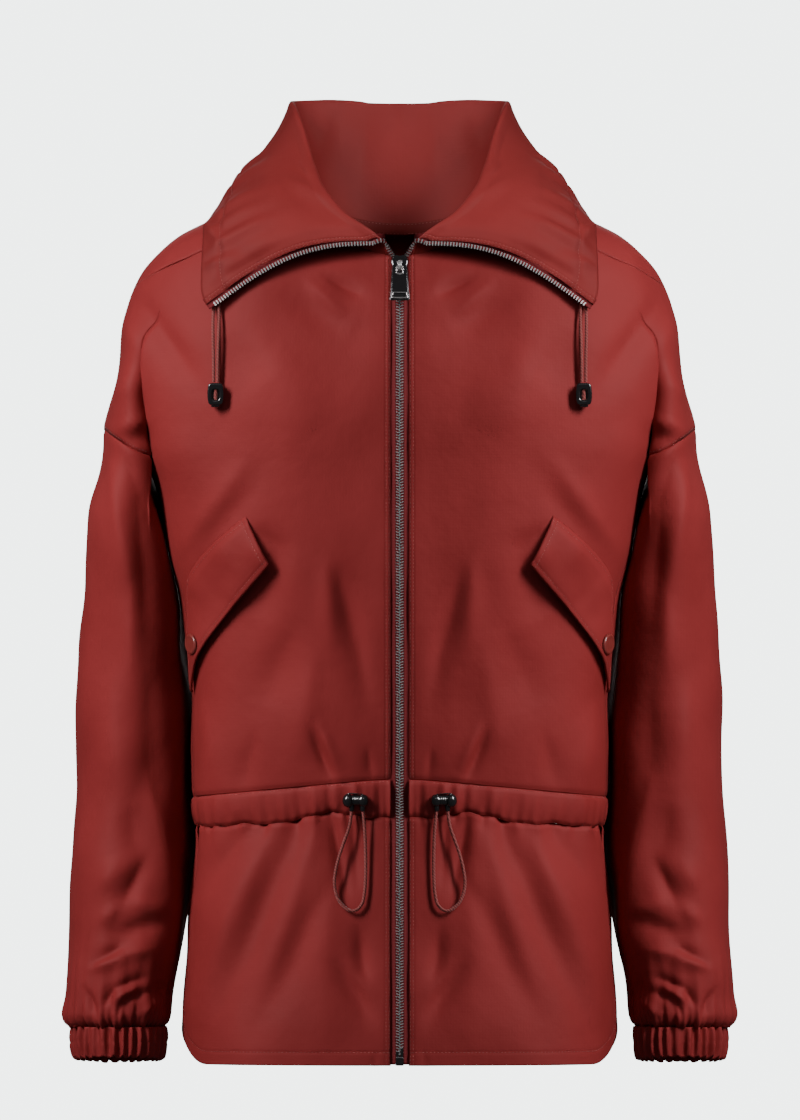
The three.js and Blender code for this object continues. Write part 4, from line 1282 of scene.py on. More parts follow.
def drawn_up(angle: Array) -> Array:
    """Return how far the cord draws the casing's lower seam up at an angle, as a share of a ring.

    Args:
        angle: angles from the centre front in degrees.

    Returns:
        The shares.
    """
    near_stop = np.exp(-((np.abs(angle) - 30) / 8) ** 2)
    uneven = np.sin(np.radians(angle) * 19 + 1) + 0.8 * np.sin(np.radians(angle) * 37 + 2)
    return -0.24 * near_stop - 0.03 * uneven * smooth(angle, 6, 12)


@dataclass
class Waist:
    """The drawcord casing, a gathered band round the waist in three pieces."""

    sewing: Sewing
    swell: float = 2.2
    pucker: float = 1.3
    waves: float = 12.0

    def grid(self, start: float, end: float, columns: int, seed: int) -> Grid:
        """Return the band between two angles, with uneven puckers drawn in by the cord.

        Args:
            start: the first angle.
            end: the last angle.
            columns: the number of columns.
            seed: the seed of its random draws.

        Returns:
            The grid.
        """
        rows = fractions((0, 0.16, 7), (0.16, 0.84, 12), (0.84, 1, 7))
        angle, v = cross(np.linspace(start, end, columns), rows)
        draw = np.random.default_rng(seed)
        phase = sum(draw.uniform(0.5, 1.3) * np.sin(np.radians(angle) * k + draw.uniform(0, 6))
                    for k in (2, 5, 9))
        wave = np.sin(np.radians(angle) * self.waves * 2 + phase) * 0.6 + np.sin(
            np.radians(angle) * self.waves * 3.7 - phase * 1.4) * 0.5
        reach = 0.25 + 0.75 * np.sin(math.pi * v) ** 0.6
        near_stop = np.exp(-((angle - 24) / 13) ** 2)
        fine = np.sin(np.radians(angle) * 95 + phase * 1.5) * (0.35 + np.exp(-((v - 0.95) / 0.2) ** 2))
        out = self.swell * np.sin(math.pi * v) ** 0.7 + self.pucker * (
            wave * reach * (0.6 + 0.9 * near_stop) + 0.45 * fine * reach)
        ring = lerp(CASING_TOP, CASING_FOOT + drawn_up(angle), v)
        return Grid.of(Form(body_base, 0.2, 0.02, BODY_CREASES, Crinkle(seed, 0.25)), angle, ring, out)

    def make(self) -> None:
        """Make the band and its two rows of stitches."""
        seam = float(SEAM_OF_SIDE(np.array(17.0)))
        edge = float(edge_angle(np.array(17.5)))
        back = []
        for side, sign in SIDES:
            grid = self.grid(edge, seam, 150, 21 if sign > 0 else 22)
            grid.press(Edge.TOP, 1.1, 2.2).press(Edge.FOOT, 1.3, 2.2)
            self.sewing.row(grid.line(Edge.TOP, 1.6, 0.1), sign)
            piece = grid_mesh(f"casing_{side}_cloth", [(grid.mirrored(sign), sign)], Shell())
            keep(piece, "shell", f"casing_{side}")
            half = self.grid(seam, 180, 150, 23 if sign > 0 else 24)
            half.press(Edge.TOP, 1.1, 2.2).press(Edge.FOOT, 1.3, 2.2)
            half.points[-1] = half.points[-1] * (0, 1, 1)
            self.sewing.row(half.line(Edge.TOP, 1.6, 0.1), sign)
            back.append((half, sign))
        middle = (back[0][0].points[-1] + back[1][0].points[-1]) / 2
        for half, _ in back:
            half.points[-1] = middle
        piece = grid_mesh("casing_back_cloth", [(g.mirrored(sign), sign) for g, sign in back], Shell())
        keep(piece, "shell", "casing_back")


@dataclass
class Skirt:
    """The flared lower part: two fronts and a back with rounded hem corners at the side seams."""

    sewing: Sewing
    corner_width: float = 22.0
    corner_rise: float = 33.0
    gather: float = 1.9
    ring_height: float = 29.5

    def grid(self, start: float | None, end: float, columns: int, seed: int) -> Grid:
        """Return the skirt between two angles.

        Args:
            start: the first angle; None is the front's edge beside the zip.
            end: the last angle.
            columns: the number of columns in its wider part.
            seed: the seed of its random draws.

        Returns:
            The grid.
        """
        if start is None:
            across = fractions((0, 0.72, columns), (0.72, 1, columns // 2))
            across = np.concatenate((np.linspace(0, 0.08, 12)[:-1], across[across >= 0.08]))
        else:
            across = fractions((0, 0.4, columns // 2), (0.4, 1, columns))
        u, v = cross(across, fractions((0, 0.08, 14), (0.08, 0.86, 44), (0.86, 1, 18)))
        first = edge_angle(lerp(CASING_FOOT, HEM, v)) if start is None else start
        angle = lerp(first, end, u)
        hem_x = body_base(angle, np.full_like(angle, HEM))[..., 0]
        wide = float(BODY_TABLE["half_width"](np.array(float(HEM))))
        beside = np.clip((hem_x - wide + self.corner_width) / self.corner_width, 0, 1)
        rise = self.corner_rise * (1 - np.sqrt(np.clip(1 - beside * beside, 0, 1)))
        ring = lerp(CASING_FOOT, HEM - rise / self.ring_height, v)
        draw = np.random.default_rng(seed)
        phase = draw.uniform(0, 6) + 2 * np.sin(np.radians(angle) * 3 + draw.uniform(0, 6))
        wave = np.sin(np.radians(angle) * 24 + phase) + 0.7 * np.sin(np.radians(angle) * 41 - phase)
        fine = np.sin(np.radians(angle) * 67 + phase * 2) + 0.6 * np.sin(np.radians(angle) * 103 - phase)
        out = self.gather * (wave * np.exp(-v * 9) + 0.5 * fine * np.exp(-v * 26)) * smooth(angle, 6, 14)
        return Grid.of(body_form(seed), angle, ring + drawn_up(angle) * (1 - smooth(v, 0, 0.2)), out)

    def finish_edges(self, grid: Grid, sign: int, has_zip: bool) -> Grid:
        """Press seams and hem into a grid and sew its rows.

        Args:
            grid: the piece's grid.
            sign: the side on which its rows are sewn.
            has_zip: whether the first column runs beside the zip.

        Returns:
            The same grid.
        """
        grid.press(Edge.TOP, 1.3, 2.4).press(Edge.FOOT, 0.35, 1.2, 11)
        self.sewing.row(grid.line(Edge.FOOT, 11, 0.05), sign)
        if has_zip:
            grid.press(Edge.FIRST_COLUMN, 1.0, 1.2)
            for at in (1.5, 4.0):
                grid.press(Edge.FIRST_COLUMN, 0.4, 1.1, at)
                self.sewing.row(grid.line(Edge.FIRST_COLUMN, at, 0.05), sign)
        return grid

    def make(self) -> None:
        """Make the three pieces."""
        seam = float(SEAM_OF_SIDE(np.array(17.0)))
        back = []
        for side, sign in SIDES:
            grid = self.finish_edges(self.grid(None, seam, 70, 31 if sign > 0 else 32), sign, True)
            grid.press(Edge.LAST_COLUMN, 0.7, 1.8)
            piece = grid_mesh(f"skirt_{side}_cloth", [(grid.mirrored(sign), sign)], Shell())
            keep(piece, "shell", f"skirt_{side}")
            half = self.finish_edges(self.grid(seam, 180, 76, 33), sign, False)
            half.press(Edge.FIRST_COLUMN, 0.7, 1.8)
            half.points[-1, :, 0] = 0
            back.append((half, sign))
        piece = grid_mesh("skirt_back_cloth", [(g.mirrored(sign), sign) for g, sign in back], Shell())
        keep(piece, "shell", "skirt_back")


@dataclass
class Sleeves:
    """Sleeves and their elastic cuffs."""

    sewing: Sewing
    pleats: int = 30
    cuff_top: float = -661.1
    cuff_drop: float = 27.5
    cuff_tilt: float = 3.0
    length: float = 494.0

    def sleeve(self, side: str, sign: int) -> None:
        """Make one sleeve, gathered where it meets the cuff.

        Args:
            side: the side's name, left or right as worn.
            sign: 1 for the left side, -1 for the right.
        """
        turns = np.linspace(-1, 1 + UNDER, 217)[:-1]
        turn, down = cross(turns, fractions((0, 0.05, 12), (0.05, 0.86, 84), (0.86, 1, 40)))
        crinkle = Crinkle(41 if sign > 0 else 42, 0.6, 25, 100)
        form = Form(sleeve_base, 0.02, 0.004, SLEEVE_CREASES, crinkle, -10)
        a = np.radians(turn * ARM_ARC)
        near = np.exp(-(1 - down) * 17)
        close = np.exp(-(1 - down) * 48)
        draw = np.random.default_rng(43)
        phase = 1.3 * np.sin(2 * a + draw.uniform(0, 6)) + 0.8 * np.sin(5 * a + draw.uniform(0, 6))
        gather = near * (1.7 * np.sin(11 * a + phase) + 1.1 * np.sin(23 * a - phase)) + close * (
            1.1 * np.sin(37 * a + 2 * phase) + 0.7 * np.sin(53 * a - phase))
        puff = 2.0 * np.exp(-((1 - down) * self.length - 12) ** 2 / 90) * (0.6 + 0.4 * np.cos(a))
        grid = Grid.of(form, turn, down, gather + puff)
        grid.press(Edge.TOP, 1.1, 2.4).press(Edge.FOOT, 2.2, 3.0)
        piece = grid_mesh(f"sleeve_{side}_cloth", [(grid.mirrored(sign), sign)], Shell(), closed=True)
        keep(piece, "shell", f"sleeve_{side}")

    def cuff(self, side: str, sign: int) -> None:
        """Make one cuff: a narrow tube drawn into uneven pleats by two rows of elastic.

        Args:
            side: the side's name, left or right as worn.
            sign: 1 for the left side, -1 for the right.
        """
        turns = np.linspace(0, 2 * math.pi, 541)[:-1]
        a, v = cross(turns, np.linspace(0, 1, 17))
        draw = np.random.default_rng(51 if sign > 0 else 52)
        phase = sum(draw.uniform(0.4, 0.9) * np.sin(k * a + draw.uniform(0, 6)) for k in (1, 3, 7))
        height = 1.0 + 0.35 * np.sin(4 * a + draw.uniform(0, 6)) + 0.3 * np.sin(9 * a + v * 3)
        pleat = np.sin(self.pleats * a + phase)
        wave = height * np.sign(pleat) * np.abs(pleat) ** 0.75
        pinch = 0.55 + 0.45 * np.sin(math.pi * v) ** 0.5 - 0.25 * np.exp(-((v - 0.5) / 0.06) ** 2)
        end = np.array(SLEEVE_FOOT)
        t = SLEEVE_TABLE
        out = wave * pinch * 2.1 - 1.5 * v + 0.9 * np.sin(math.pi * v)
        outer = t["outer"](end)
        inner = t["inner"](end)
        points = stack((outer + inner) / 2 + ((outer - inner) / 2 + out) * np.cos(a),
                       t["middle"](end) + (t["depth"](end) + out) * np.sin(a),
                       self.cuff_top - v * (self.cuff_drop + self.cuff_tilt * np.sin(a) - 0.7 * wave))
        normals = stack(np.cos(a), np.sin(a), np.zeros_like(a))
        grid = Grid(points, normals)
        piece = grid_mesh(f"cuff_{side}_cloth", [(grid.mirrored(sign), sign)], Shell(), closed=True)
        keep(piece, "shell", f"cuff_{side}")

    def make(self) -> None:
        """Make both sleeves and cuffs."""
        for side, sign in SIDES:
            self.sleeve(side, sign)
            self.cuff(side, sign)


@dataclass
class Collar:
    """The funnel collar, rolled open, with a drawcord channel along its free edge."""

    sewing: Sewing
    puff: float = 2.0
    wave: float = 1.2

    def zip_line(self, up: Array) -> tuple[Array, Array, Array]:
        """Return the line of the zip's open half along the collar's front edge.

        Args:
            up: the shares of the collar's depth.

        Returns:
            The line's points, the way across into the cloth and the way out of the face.
        """
        p = collar_base(np.zeros_like(up), up)
        ahead = unit(collar_base(np.zeros_like(up), np.minimum(1, up + 0.01))
                     - collar_base(np.zeros_like(up), np.maximum(0, up - 0.01)))
        over = collar_base(np.full_like(up, BESIDE_ZIP), up) - p
        over -= ahead * np.sum(over * ahead, axis=-1, keepdims=True)
        return p, unit(over), unit(np.cross(unit(over), ahead))

    def grid(self, seed: int) -> Grid:
        """Return half of the collar, from the zip to the centre back, for a seed of random draws.

        Args:
            seed: the seed of its random draws.

        Returns:
            The grid.
        """
        rows = fractions((0, 0.4, 26), (0.4, 0.6, 22), (0.6, 1, 56))
        u, up = cross(fractions((0, 0.06, 14), (0.06, 1, 110)), rows)
        beside = collar_base(np.full_like(up, BESIDE_ZIP), up) - collar_base(np.zeros_like(up), up)
        reach = np.linalg.norm(beside, axis=-1)
        start = (FRONT_EDGE - 1.2) / np.maximum(reach / BESIDE_ZIP, 14)
        at = lerp(start, 9.0, u ** 1.1)
        begin = 1 - 2 * CHANNEL_WIDTH / COLLAR_DEPTH
        inside = np.clip((up - begin) / (1 - begin), 0, 1)
        draw = np.random.default_rng(seed)
        phase = at * 2.1 + 1.6 * np.sin(at * 1.7 + draw.uniform(0, 6))
        ripple = np.sin(at * 5.2 + phase) + 0.5 * np.sin(at * 9 - phase)
        channel = np.sin(math.pi * inside) * (self.puff + self.wave * ripple)
        drag = 0.45 * np.exp(-((up - begin) / 0.05) ** 2) * ripple
        crinkle = Crinkle(seed, 0.7, 30, 110)
        form = Form(collar_base, 0.02, 0.01, COLLAR_CREASES, crinkle, 20, outward=1, draped=False)
        fade = smooth(at, 0.25, 1.2)
        return Grid.of(form, at, up, -(channel + drag) * fade)

    def binding(self) -> None:
        """Make the narrow binding that covers the neck seam inside the back."""
        angle, v = cross(np.linspace(118, 180, 60), np.linspace(0, 1, 7))
        neck = body_base(angle, np.zeros_like(angle)) * (0.955, 0.955, 1)
        bulge = 0.6 * np.sin(math.pi * v)
        inward = unit(neck * (1, 1, 0))
        points = neck - inward * bulge[..., None] + stack(0, 0, 5.0 - 10.5 * v)
        points[-1, :, 0] = 0
        grid = Grid(points, -inward)
        for edge in (Edge.TOP, Edge.FOOT):
            for _, sign in SIDES:
                self.sewing.row(grid.line(edge, 1.4, 0.1), sign)
        halves = [(grid.mirrored(sign), -sign) for _, sign in SIDES]
        keep(grid_mesh("neck_binding", halves, ShadedShell(), 0.8), "shell")

    def make(self) -> None:
        """Make the collar, its stitches and the binding."""
        self.binding()
        grids = []
        for side, sign in SIDES:
            grid = self.grid(61)
            grid.points[-1, :, 0] = 0
            grid.press(Edge.FIRST_COLUMN, -0.8, 1.3)
            for at in (1.5, 4.0):
                grid.press(Edge.FIRST_COLUMN, -0.35, 1.1, at)
                self.sewing.row(grid.line(Edge.FIRST_COLUMN, at, -CLOTH - 0.1), sign)
            grid.press(Edge.FOOT, -1.3, 1.8, CHANNEL_WIDTH)
            self.sewing.row(grid.line(Edge.FOOT, CHANNEL_WIDTH, -CLOTH - 0.1), sign)
            grids.append((grid.mirrored(sign), -sign))
        # the collar wears a darker copy of the cloth: painted shade standing in for the light of both side
        # lamps
        piece = grid_mesh("collar_cloth", grids, CollarShell())
        keep(piece, "shell", "collar")


@dataclass
class Flaps:
    """Slanted pocket flaps, each held by one snap in the cloth's colour."""

    sewing: Sewing
    top: tuple[float, float] = (49, -238)
    side: tuple[float, float] = (71.5, -292)
    inner: tuple[float, float] = (43, -278)
    tip: tuple[float, float] = (77, -382)
    edge: float = 0.3
    seat: float = 2.2
    lift: float = 7.0
    snap_along: float = 0.8
    snap_down: float = 0.78

    def point(self, u: Array, v: Array) -> Array:
        """Return points of the body's surface under the flap.

        Args:
            u: the first parameter.
            v: the second parameter.

        Returns:
            The points.
        """
        angle = lerp(lerp(self.top[0], self.side[0], u), lerp(self.inner[0], self.tip[0], u), v)
        z = lerp(lerp(self.top[1], self.side[1], u), lerp(self.inner[1], self.tip[1], u), v)
        rings = np.linspace(ARMPIT, CASING_TOP, 500)
        return body_base(angle, np.interp(-z, -BODY_TABLE["z_front"](rings), rings))

    def form(self) -> Form:
        """Return the flap's surface."""
        return Form(self.point, 0.02, 0.02, BODY_CREASES, Crinkle(71, 0.5, 18, 50))

    def raised(self, u: Array, v: Array) -> Array:
        """Return how far the flap's face stands off the body."""
        start = lerp(self.edge, self.seat, smooth(v, 0, 0.2))
        return start + CLOTH + self.lift * np.sin(math.pi / 2 * v) * (1 - 0.75 * u)

    def make(self) -> None:
        """Make both flaps and their snaps."""
        for side, sign in SIDES:
            u, v = cross(np.linspace(0, 1, 90), np.linspace(0, 1, 40))
            grid = Grid.of(self.form(), u, v, self.raised(u, v))
            for edge in (Edge.FIRST_COLUMN, Edge.FOOT, Edge.LAST_COLUMN):
                grid.press(edge, 0.9, 0.9).press(edge, 0.35, 1.0, 5.5)
                self.sewing.row(grid.line(edge, 5.5, 0.05), sign)
            grid.press(Edge.TOP, 1.1, 1.6).press(Edge.TOP, 0.35, 1.0, 5.0)
            self.sewing.row(grid.line(Edge.TOP, 5.0, 0.05), sign)
            piece = grid_mesh(f"flap_{side}_cloth", [(grid.mirrored(sign), sign)], Shell(), CLOTH * 1.5)
            keep(piece, "shell", f"flap_{side}")
            self.snap(side, sign)

    def snap(self, side: str, sign: int) -> None:
        """Make one snap: a low cap in the cloth's colour with a ring and a shallow dish.

        Args:
            side: the side's name, left or right as worn.
            sign: 1 for the left side, -1 for the right.
        """
        u = np.array([self.snap_along])
        v = np.array([self.snap_down])
        point, normal = self.form().dressed(u, v, self.raised(u, v) + 0.5)
        p = Vector(point[0] * (sign, 1, 1))
        n = Vector(normal[0] * (sign, 1, 1)).normalized()
        profile = ((0, 2.0), (3.5, 1.95), (5.4, 1.75), (6.2, 2.0), (7.2, 2.15), (8.2, 1.6), (8.8, 0.7),
                   (8.8, 0), (0, 0))
        spin = n.to_track_quat("Z", "Y")
        count = 48
        rings = [[p + spin @ Vector((r * math.cos(a), r * math.sin(a), h))
                  for a in np.linspace(0, 2 * math.pi, count, endpoint=False)] for r, h in profile[1:-1]]
        verts = [p + spin @ Vector((0, 0, profile[0][1]))] + [q for ring in rings for q in ring] + [p]
        faces = [(0, 1 + k, 1 + (k + 1) % count) for k in range(count)]
        for r in range(len(rings) - 1):
            low = 1 + r * count
            faces += [(low + k, low + count + k, low + count + (k + 1) % count, low + (k + 1) % count)
                      for k in range(count)]
        low = 1 + (len(rings) - 1) * count
        last = len(verts) - 1
        faces += [(low + k, last, low + (k + 1) % count) for k in range(count)]
        mesh = bpy.data.meshes.new(f"snap_{side}_cap")
        mesh.from_pydata([tuple(q * MM) for q in verts], [], faces)
        mesh.polygons.foreach_set("use_smooth", [True] * len(mesh.polygons))
        keep(place_object(f"snap_{side}_cap", mesh, SnapPaint()), "shell", f"snap_{side}")


@dataclass(frozen=True)
class SnapPaint(WornMetal):
    """Enamelled snap cap in the cloth's colour."""

    color: tuple[float, float, float, float] = (0.20, 0.030, 0.026, 1)

    def make(self, name: str) -> bpy.types.Material:
        """Make the enamel over a fine ripple.

        Args:
            name: the material's name.

        Returns:
            The material.
        """
        material = super().make(name)
        shader = material.node_tree.nodes["Principled BSDF"]
        dial(shader, Metallic=0, Coat_Weight=0.25)
        return material


def rounded(points: Outline, radius: float, steps: int = 5) -> Outline:
    """Round the corners of a closed outline.

    Args:
        points: the outline's corners.
        radius: how far from a corner its rounding starts.
        steps: how many pieces each rounding has.

    Returns:
        The rounded outline.
    """
    made = []
    for i, corner in enumerate(points):
        c = Vector(corner)
        a = Vector(points[i - 1]) - c
        b = Vector(points[(i + 1) % len(points)]) - c
        a = a * min(radius / a.length, 0.49)
        b = b * min(radius / b.length, 0.49)
        for k in range(steps + 1):
            t = k / steps
            made.append(tuple(c + a * (1 - t) ** 2 + b * t ** 2))
    return made


def box_outline(width: float, low: float, high: float) -> Outline:
    """Return a rectangle round x = 0 between two heights."""
    return [(-width / 2, low), (width / 2, low), (width / 2, high), (-width / 2, high)]


def plate(loops: Sequence[Outline], depth: float, bevel: float, at: Matrix) -> bpy.types.Mesh:
    """Make a plate with holes and rounded edges.

    Args:
        loops: the outline and its holes, in the plate's own plane.
        depth: the plate's thickness.
        bevel: the rounding of its edges.
        at: where its plane stands; the third axis is its thickness.

    Returns:
        The mesh, in metres.
    """
    curve = bpy.data.curves.new("plate", "CURVE")
    curve.dimensions = "2D"
    curve.fill_mode = "BOTH"
    curve.extrude = depth / 2 - bevel
    curve.bevel_depth = bevel
    curve.bevel_resolution = 2
    curve.offset = -bevel
    for loop in loops:
        spline = curve.splines.new("POLY")
        spline.points.add(len(loop) - 1)
        for knot, (x, y) in zip(spline.points, loop):
            knot.co = (x, y, 0, 1)
        spline.use_cyclic_u = True
    holder = bpy.data.objects.new("plate", curve)
    mesh = bpy.data.meshes.new_from_object(holder)
    mesh.transform(Matrix.Scale(MM, 4) @ at)
    bpy.data.objects.remove(holder)
    bpy.data.curves.remove(curve)
    return mesh


def joined(name: str, meshes: Iterable[bpy.types.Mesh], finish: Finish,
           sharp: float = 35) -> bpy.types.Object:
    """Join meshes into one smooth piece.

    Args:
        name: the piece's name.
        meshes: its parts, which are used up.
        finish: its finish.
        sharp: the angle in degrees above which an edge stays sharp.

    Returns:
        The piece.
    """
    work = bmesh.new()
    for mesh in meshes:
        work.from_mesh(mesh)
        bpy.data.meshes.remove(mesh)
    made = bpy.data.meshes.new(name)
    work.to_mesh(made)
    work.free()
    made.materials.clear()
    made.shade_smooth()
    made.set_sharp_from_angle(angle=math.radians(sharp))
    return place_object(name, made, finish)


def lathe(profile: Outline, at: Matrix, count: int = 32) -> bpy.types.Mesh:
    """Turn a profile round an axis.

    Args:
        profile: radii and heights.
        at: the place whose third axis it turns round.
        count: how many faces a turn has.

    Returns:
        The mesh, in metres.
    """
    turns = np.linspace(0, 2 * math.pi, count, endpoint=False)
    verts = [(r * math.cos(a), r * math.sin(a), h) for r, h in profile for a in turns]
    top = (len(profile) - 1) * count
    faces = [(low + k, low + (k + 1) % count, low + count + (k + 1) % count, low + count + k)
             for low in range(0, top, count) for k in range(count)]
    faces += [tuple(reversed(range(count))), tuple(range(top, top + count))]
    mesh = bpy.data.meshes.new("turned")
    mesh.from_pydata(verts, [], faces)
    mesh.transform(Matrix.Scale(MM, 4) @ at)
    return mesh


def facing(x: float, y: float, z: float) -> Matrix:
    """Return the place of a plate seen from the front: its plane is X and Z, its thickness Y."""
    return Matrix.Translation((x, y, z)) @ Matrix.Rotation(math.pi / 2, 4, "X")


class ZipLine:
    """Where the closed zip runs down the front."""

    behind: float = CLOTH + 0.7 + 0.4

    @staticmethod
    def depth(z: float) -> float:
        """Return the y of the fronts' outer face beside the zip at a height.

        Args:
            z: the height.

        Returns:
            The depth.
        """
        rings = np.linspace(NECK, HEM, 3000)
        ring = np.interp(-z, -BODY_TABLE["z_front"](rings), rings)
        return -float(BODY_TABLE["front"](ring))

    def points(self, heights: Array) -> Array:
        """Return the zip's middle line at some heights."""
        return np.array([(0, self.depth(z) + self.behind, z) for z in heights])


@dataclass
class Zip:
    """Tapes, teeth, slider, bail, pull tab and bottom box; the bail's half-lengths are up, down and out."""

    line: ZipLine
    collar: "Collar"
    top: float = -24.0
    bottom: float = -42.4
    pitch: float = 2.35
    tooth: tuple[float, float, float] = (3.5, 1.3, 2.2)
    hinge_z: float = -35.0
    hinge_off: float = 2.3
    thickness: float = 5.4
    bail_sizes: tuple[float, float, float] = (5.2, 4.6, 6.0)
    bail_wire: float = 1.5

    def teeth_mesh(self, name: str, places: Array, across: Array, along: Array,
                   out: Array) -> bpy.types.Object:
        """Make a row of teeth as one mesh.

        Args:
            name: the piece's name.
            places: where each tooth's head stands.
            across: from head to root.
            along: along the zip.
            out: away from the wearer.

        Returns:
            The piece.
        """
        length, height, depth = self.tooth
        shape = []
        for a, wide in ((0, 0.72), (0.28, 1), (0.45, 0.8), (1, 0.95)):
            for along_side, out_side, shrink in ((-1, -1, 1), (1, -1, 1), (1, 1, 0.62), (-1, 1, 0.62)):
                shape.append((a * length, along_side * wide * height / 2 * shrink, out_side * depth / 2))
        shape = np.array(shape)
        points = (places[:, None] + across[:, None] * shape[None, :, :1]
                  + along[:, None] * shape[None, :, 1:2] + out[:, None] * shape[None, :, 2:])
        one = [(3, 2, 1, 0), (12, 13, 14, 15)]
        for r in range(3):
            low = 4 * r
            one += [(low + k, low + (k + 1) % 4, low + 4 + (k + 1) % 4, low + 4 + k) for k in range(4)]
        faces = [tuple(16 * i + c for c in face) for i in range(len(places)) for face in one]
        mesh = bpy.data.meshes.new(name)
        mesh.from_pydata((points.reshape(-1, 3) * MM).tolist(), [], faces)
        work = bmesh.new()
        work.from_mesh(mesh)
        bmesh.ops.recalc_face_normals(work, faces=work.faces)
        work.to_mesh(mesh)
        work.free()
        return place_object(name, mesh, Gunmetal())

    def chain(self) -> None:
        """Make the closed chain: two rows of teeth that mesh with each other."""
        heights = np.arange(self.bottom + 1.5, -683.0, -self.pitch)
        places = []
        across = []
        for side in (1, -1):
            p = self.line.points(heights + (self.pitch / 2 if side > 0 else 0))
            p[:, 0] = -0.35 * side
            places.append(p)
            across.append(np.tile((side, 0, 0.3), (len(p), 1)))
        heads = np.concatenate(places)
        along = np.tile((0, 0, 1.0), (len(heads), 1))
        out = np.tile((0, -1.0, 0), (len(heads), 1))
        row = self.teeth_mesh("zip_teeth_closed", heads, np.concatenate(across), along, out)
        keep(row, "zip_teeth", "zip_chain")

    def open_rows(self) -> None:
        """Make the open rows from the slider's fork up and along the collar's front edges."""
        up = np.linspace(0.0, 0.985, 1200)
        p, across, out = self.collar.zip_line(up)
        run = distances(p)
        stops = np.arange(0.5, run[-1], self.pitch * 1.06)
        place = along_line(stops, run, p)
        side = unit(along_line(stops, run, across))
        face = unit(along_line(stops, run, out))
        along = unit(np.cross(side, face))
        for name, sign in SIDES:
            flip = np.array((sign, 1, 1))
            row = self.teeth_mesh(f"collar_teeth_{name}_row", (place + face * 1.1 + side * 0.1) * flip,
                                  side * flip, along * flip, face * flip)
            keep(row, "zip_teeth", f"collar_teeth_{name}")

    def tapes(self) -> None:
        """Make the woven tapes of the closed zip and along the collar."""
        for name, sign in SIDES:
            x, z = cross(np.concatenate((np.linspace(0.9, 3.6, 6), np.linspace(4.4, 12, 8))),
                         np.linspace(-24.6, -690.6, 260))
            depth = np.array([self.line.depth(h) for h in z[0]])
            bead = -0.9 * np.exp(-((x - 3.7) / 0.7) ** 2)
            y = depth[None, :] + CLOTH + 0.75 + bead
            nil = np.zeros_like(x)
            grid = Grid(stack(x, y, z), stack(nil, -np.ones_like(x), nil))
            piece = grid_mesh(f"zip_tape_{name}_weave", [(grid.mirrored(sign), sign)], ZipTape(), 0.7)
            keep(piece, "zip_tape", f"zip_tape_{name}")
            up = np.linspace(0.0, 0.995, 160)
            p, across, out = self.collar.zip_line(up)
            near_fork = 1 - smooth(up, 0.5, 0.62)[None, :, None]
            wide = 1.0 + np.linspace(0, 1, 11)[:, None, None] * (10.4 - 3.6 * near_fork)
            bead = 1.0 - 0.3 * near_fork + 0.8 * np.exp(-((wide - 3.9) / 0.8) ** 2)
            grid = Grid(p[None] + across[None] * wide + out[None] * bead, np.repeat(out[None], 11, axis=0))
            piece = grid_mesh(f"collar_tape_{name}_weave", [(grid.mirrored(sign), -sign)], ZipTape(), 0.7)
            keep(piece, "zip_tape", f"collar_tape_{name}")

    def on_slider(self) -> Matrix:
        """Return the slider's place: upright plates drawn round its middle, leant with the front."""
        middle = (self.top + self.bottom) / 2
        forward = self.line.depth(self.bottom) - self.line.depth(self.top)
        lean = -math.atan(forward / (self.bottom - self.top))
        y = self.line.depth(middle) + self.line.behind - 0.4 - 0.7
        return Matrix.Translation((0, y, middle)) @ Matrix.Rotation(lean, 4, "X")

    def slider(self) -> None:
        """Make the slider: two plates, two flanges, a wedge between them and the bail's two feet."""
        at = self.on_slider()
        half = (self.top - self.bottom) / 2
        shield = rounded([(-4.7, -half), (4.7, -half), (5.2, -2), (6.7, half - 5.4), (5.6, half - 0.6),
                          (2.4, half), (0, half - 0.9), (-2.4, half), (-5.6, half - 0.6),
                          (-6.7, half - 5.4), (-5.2, -2)], 1.7)
        flange = rounded([(3.4, -half), (4.9, -half), (5.6, -2), (7.0, half - 5.6), (5.8, half - 3.4),
                          (4.2, -1)], 0.9)
        mirror = [(-x, z) for x, z in reversed(flange)]
        wedge = rounded(box_outline(2.6, half - 4.2, half - 1), 0.8)
        upper_foot = rounded(box_outline(4.6, 1.0, 4.0), 0.9)
        lower_foot = rounded(box_outline(4.2, -9.0, -6.6), 0.9)
        deep = self.thickness
        parts = [plate([outline], depth, bevel, at @ facing(0, y, 0)) for outline, depth, bevel, y in (
            (shield, 1.7, 0.55, -deep + 0.85),
            (shield, 1.4, 0.4, -0.7),
            (flange, deep - 1.2, 0.4, -deep / 2),
            (mirror, deep - 1.2, 0.4, -deep / 2),
            (wedge, deep - 1, 0.3, -deep / 2),
            (upper_foot, 1.6, 0.4, -deep - 0.4),
            (lower_foot, 1.4, 0.4, -deep - 0.4))]
        keep(joined("zip_slider_body", parts, BlackNickel()), "zip_hardware", "zip_slider")

    def bow(self, inset: float) -> Outline:
        """Return the bail's arch in its side view, its line set in by a distance.

        Args:
            inset: the distance.

        Returns:
            The line's points.
        """
        up, down, out = (size - inset for size in self.bail_sizes)
        return [((up if a < math.pi / 2 else down) * math.cos(a), out * math.sin(a) ** 0.8)
                for a in np.linspace(0, math.pi, 25)]

    def bail(self) -> None:
        """Make the bail, a flat wire arched over the slider's face."""
        face = self.thickness + 0.3
        z = self.hinge_z - (self.top + self.bottom) / 2
        arch = self.bow(0) + self.bow(self.bail_wire)[::-1]
        stand = Matrix(((0, 0, 1, 0), (0, -1, 0, -face), (1, 0, 0, z), (0, 0, 0, 1)))
        parts = [plate([arch], 3.2, 0.4, self.on_slider() @ stand)]
        keep(joined("zip_bail_arch", parts, Gunmetal()), "zip_hardware", "zip_bail")

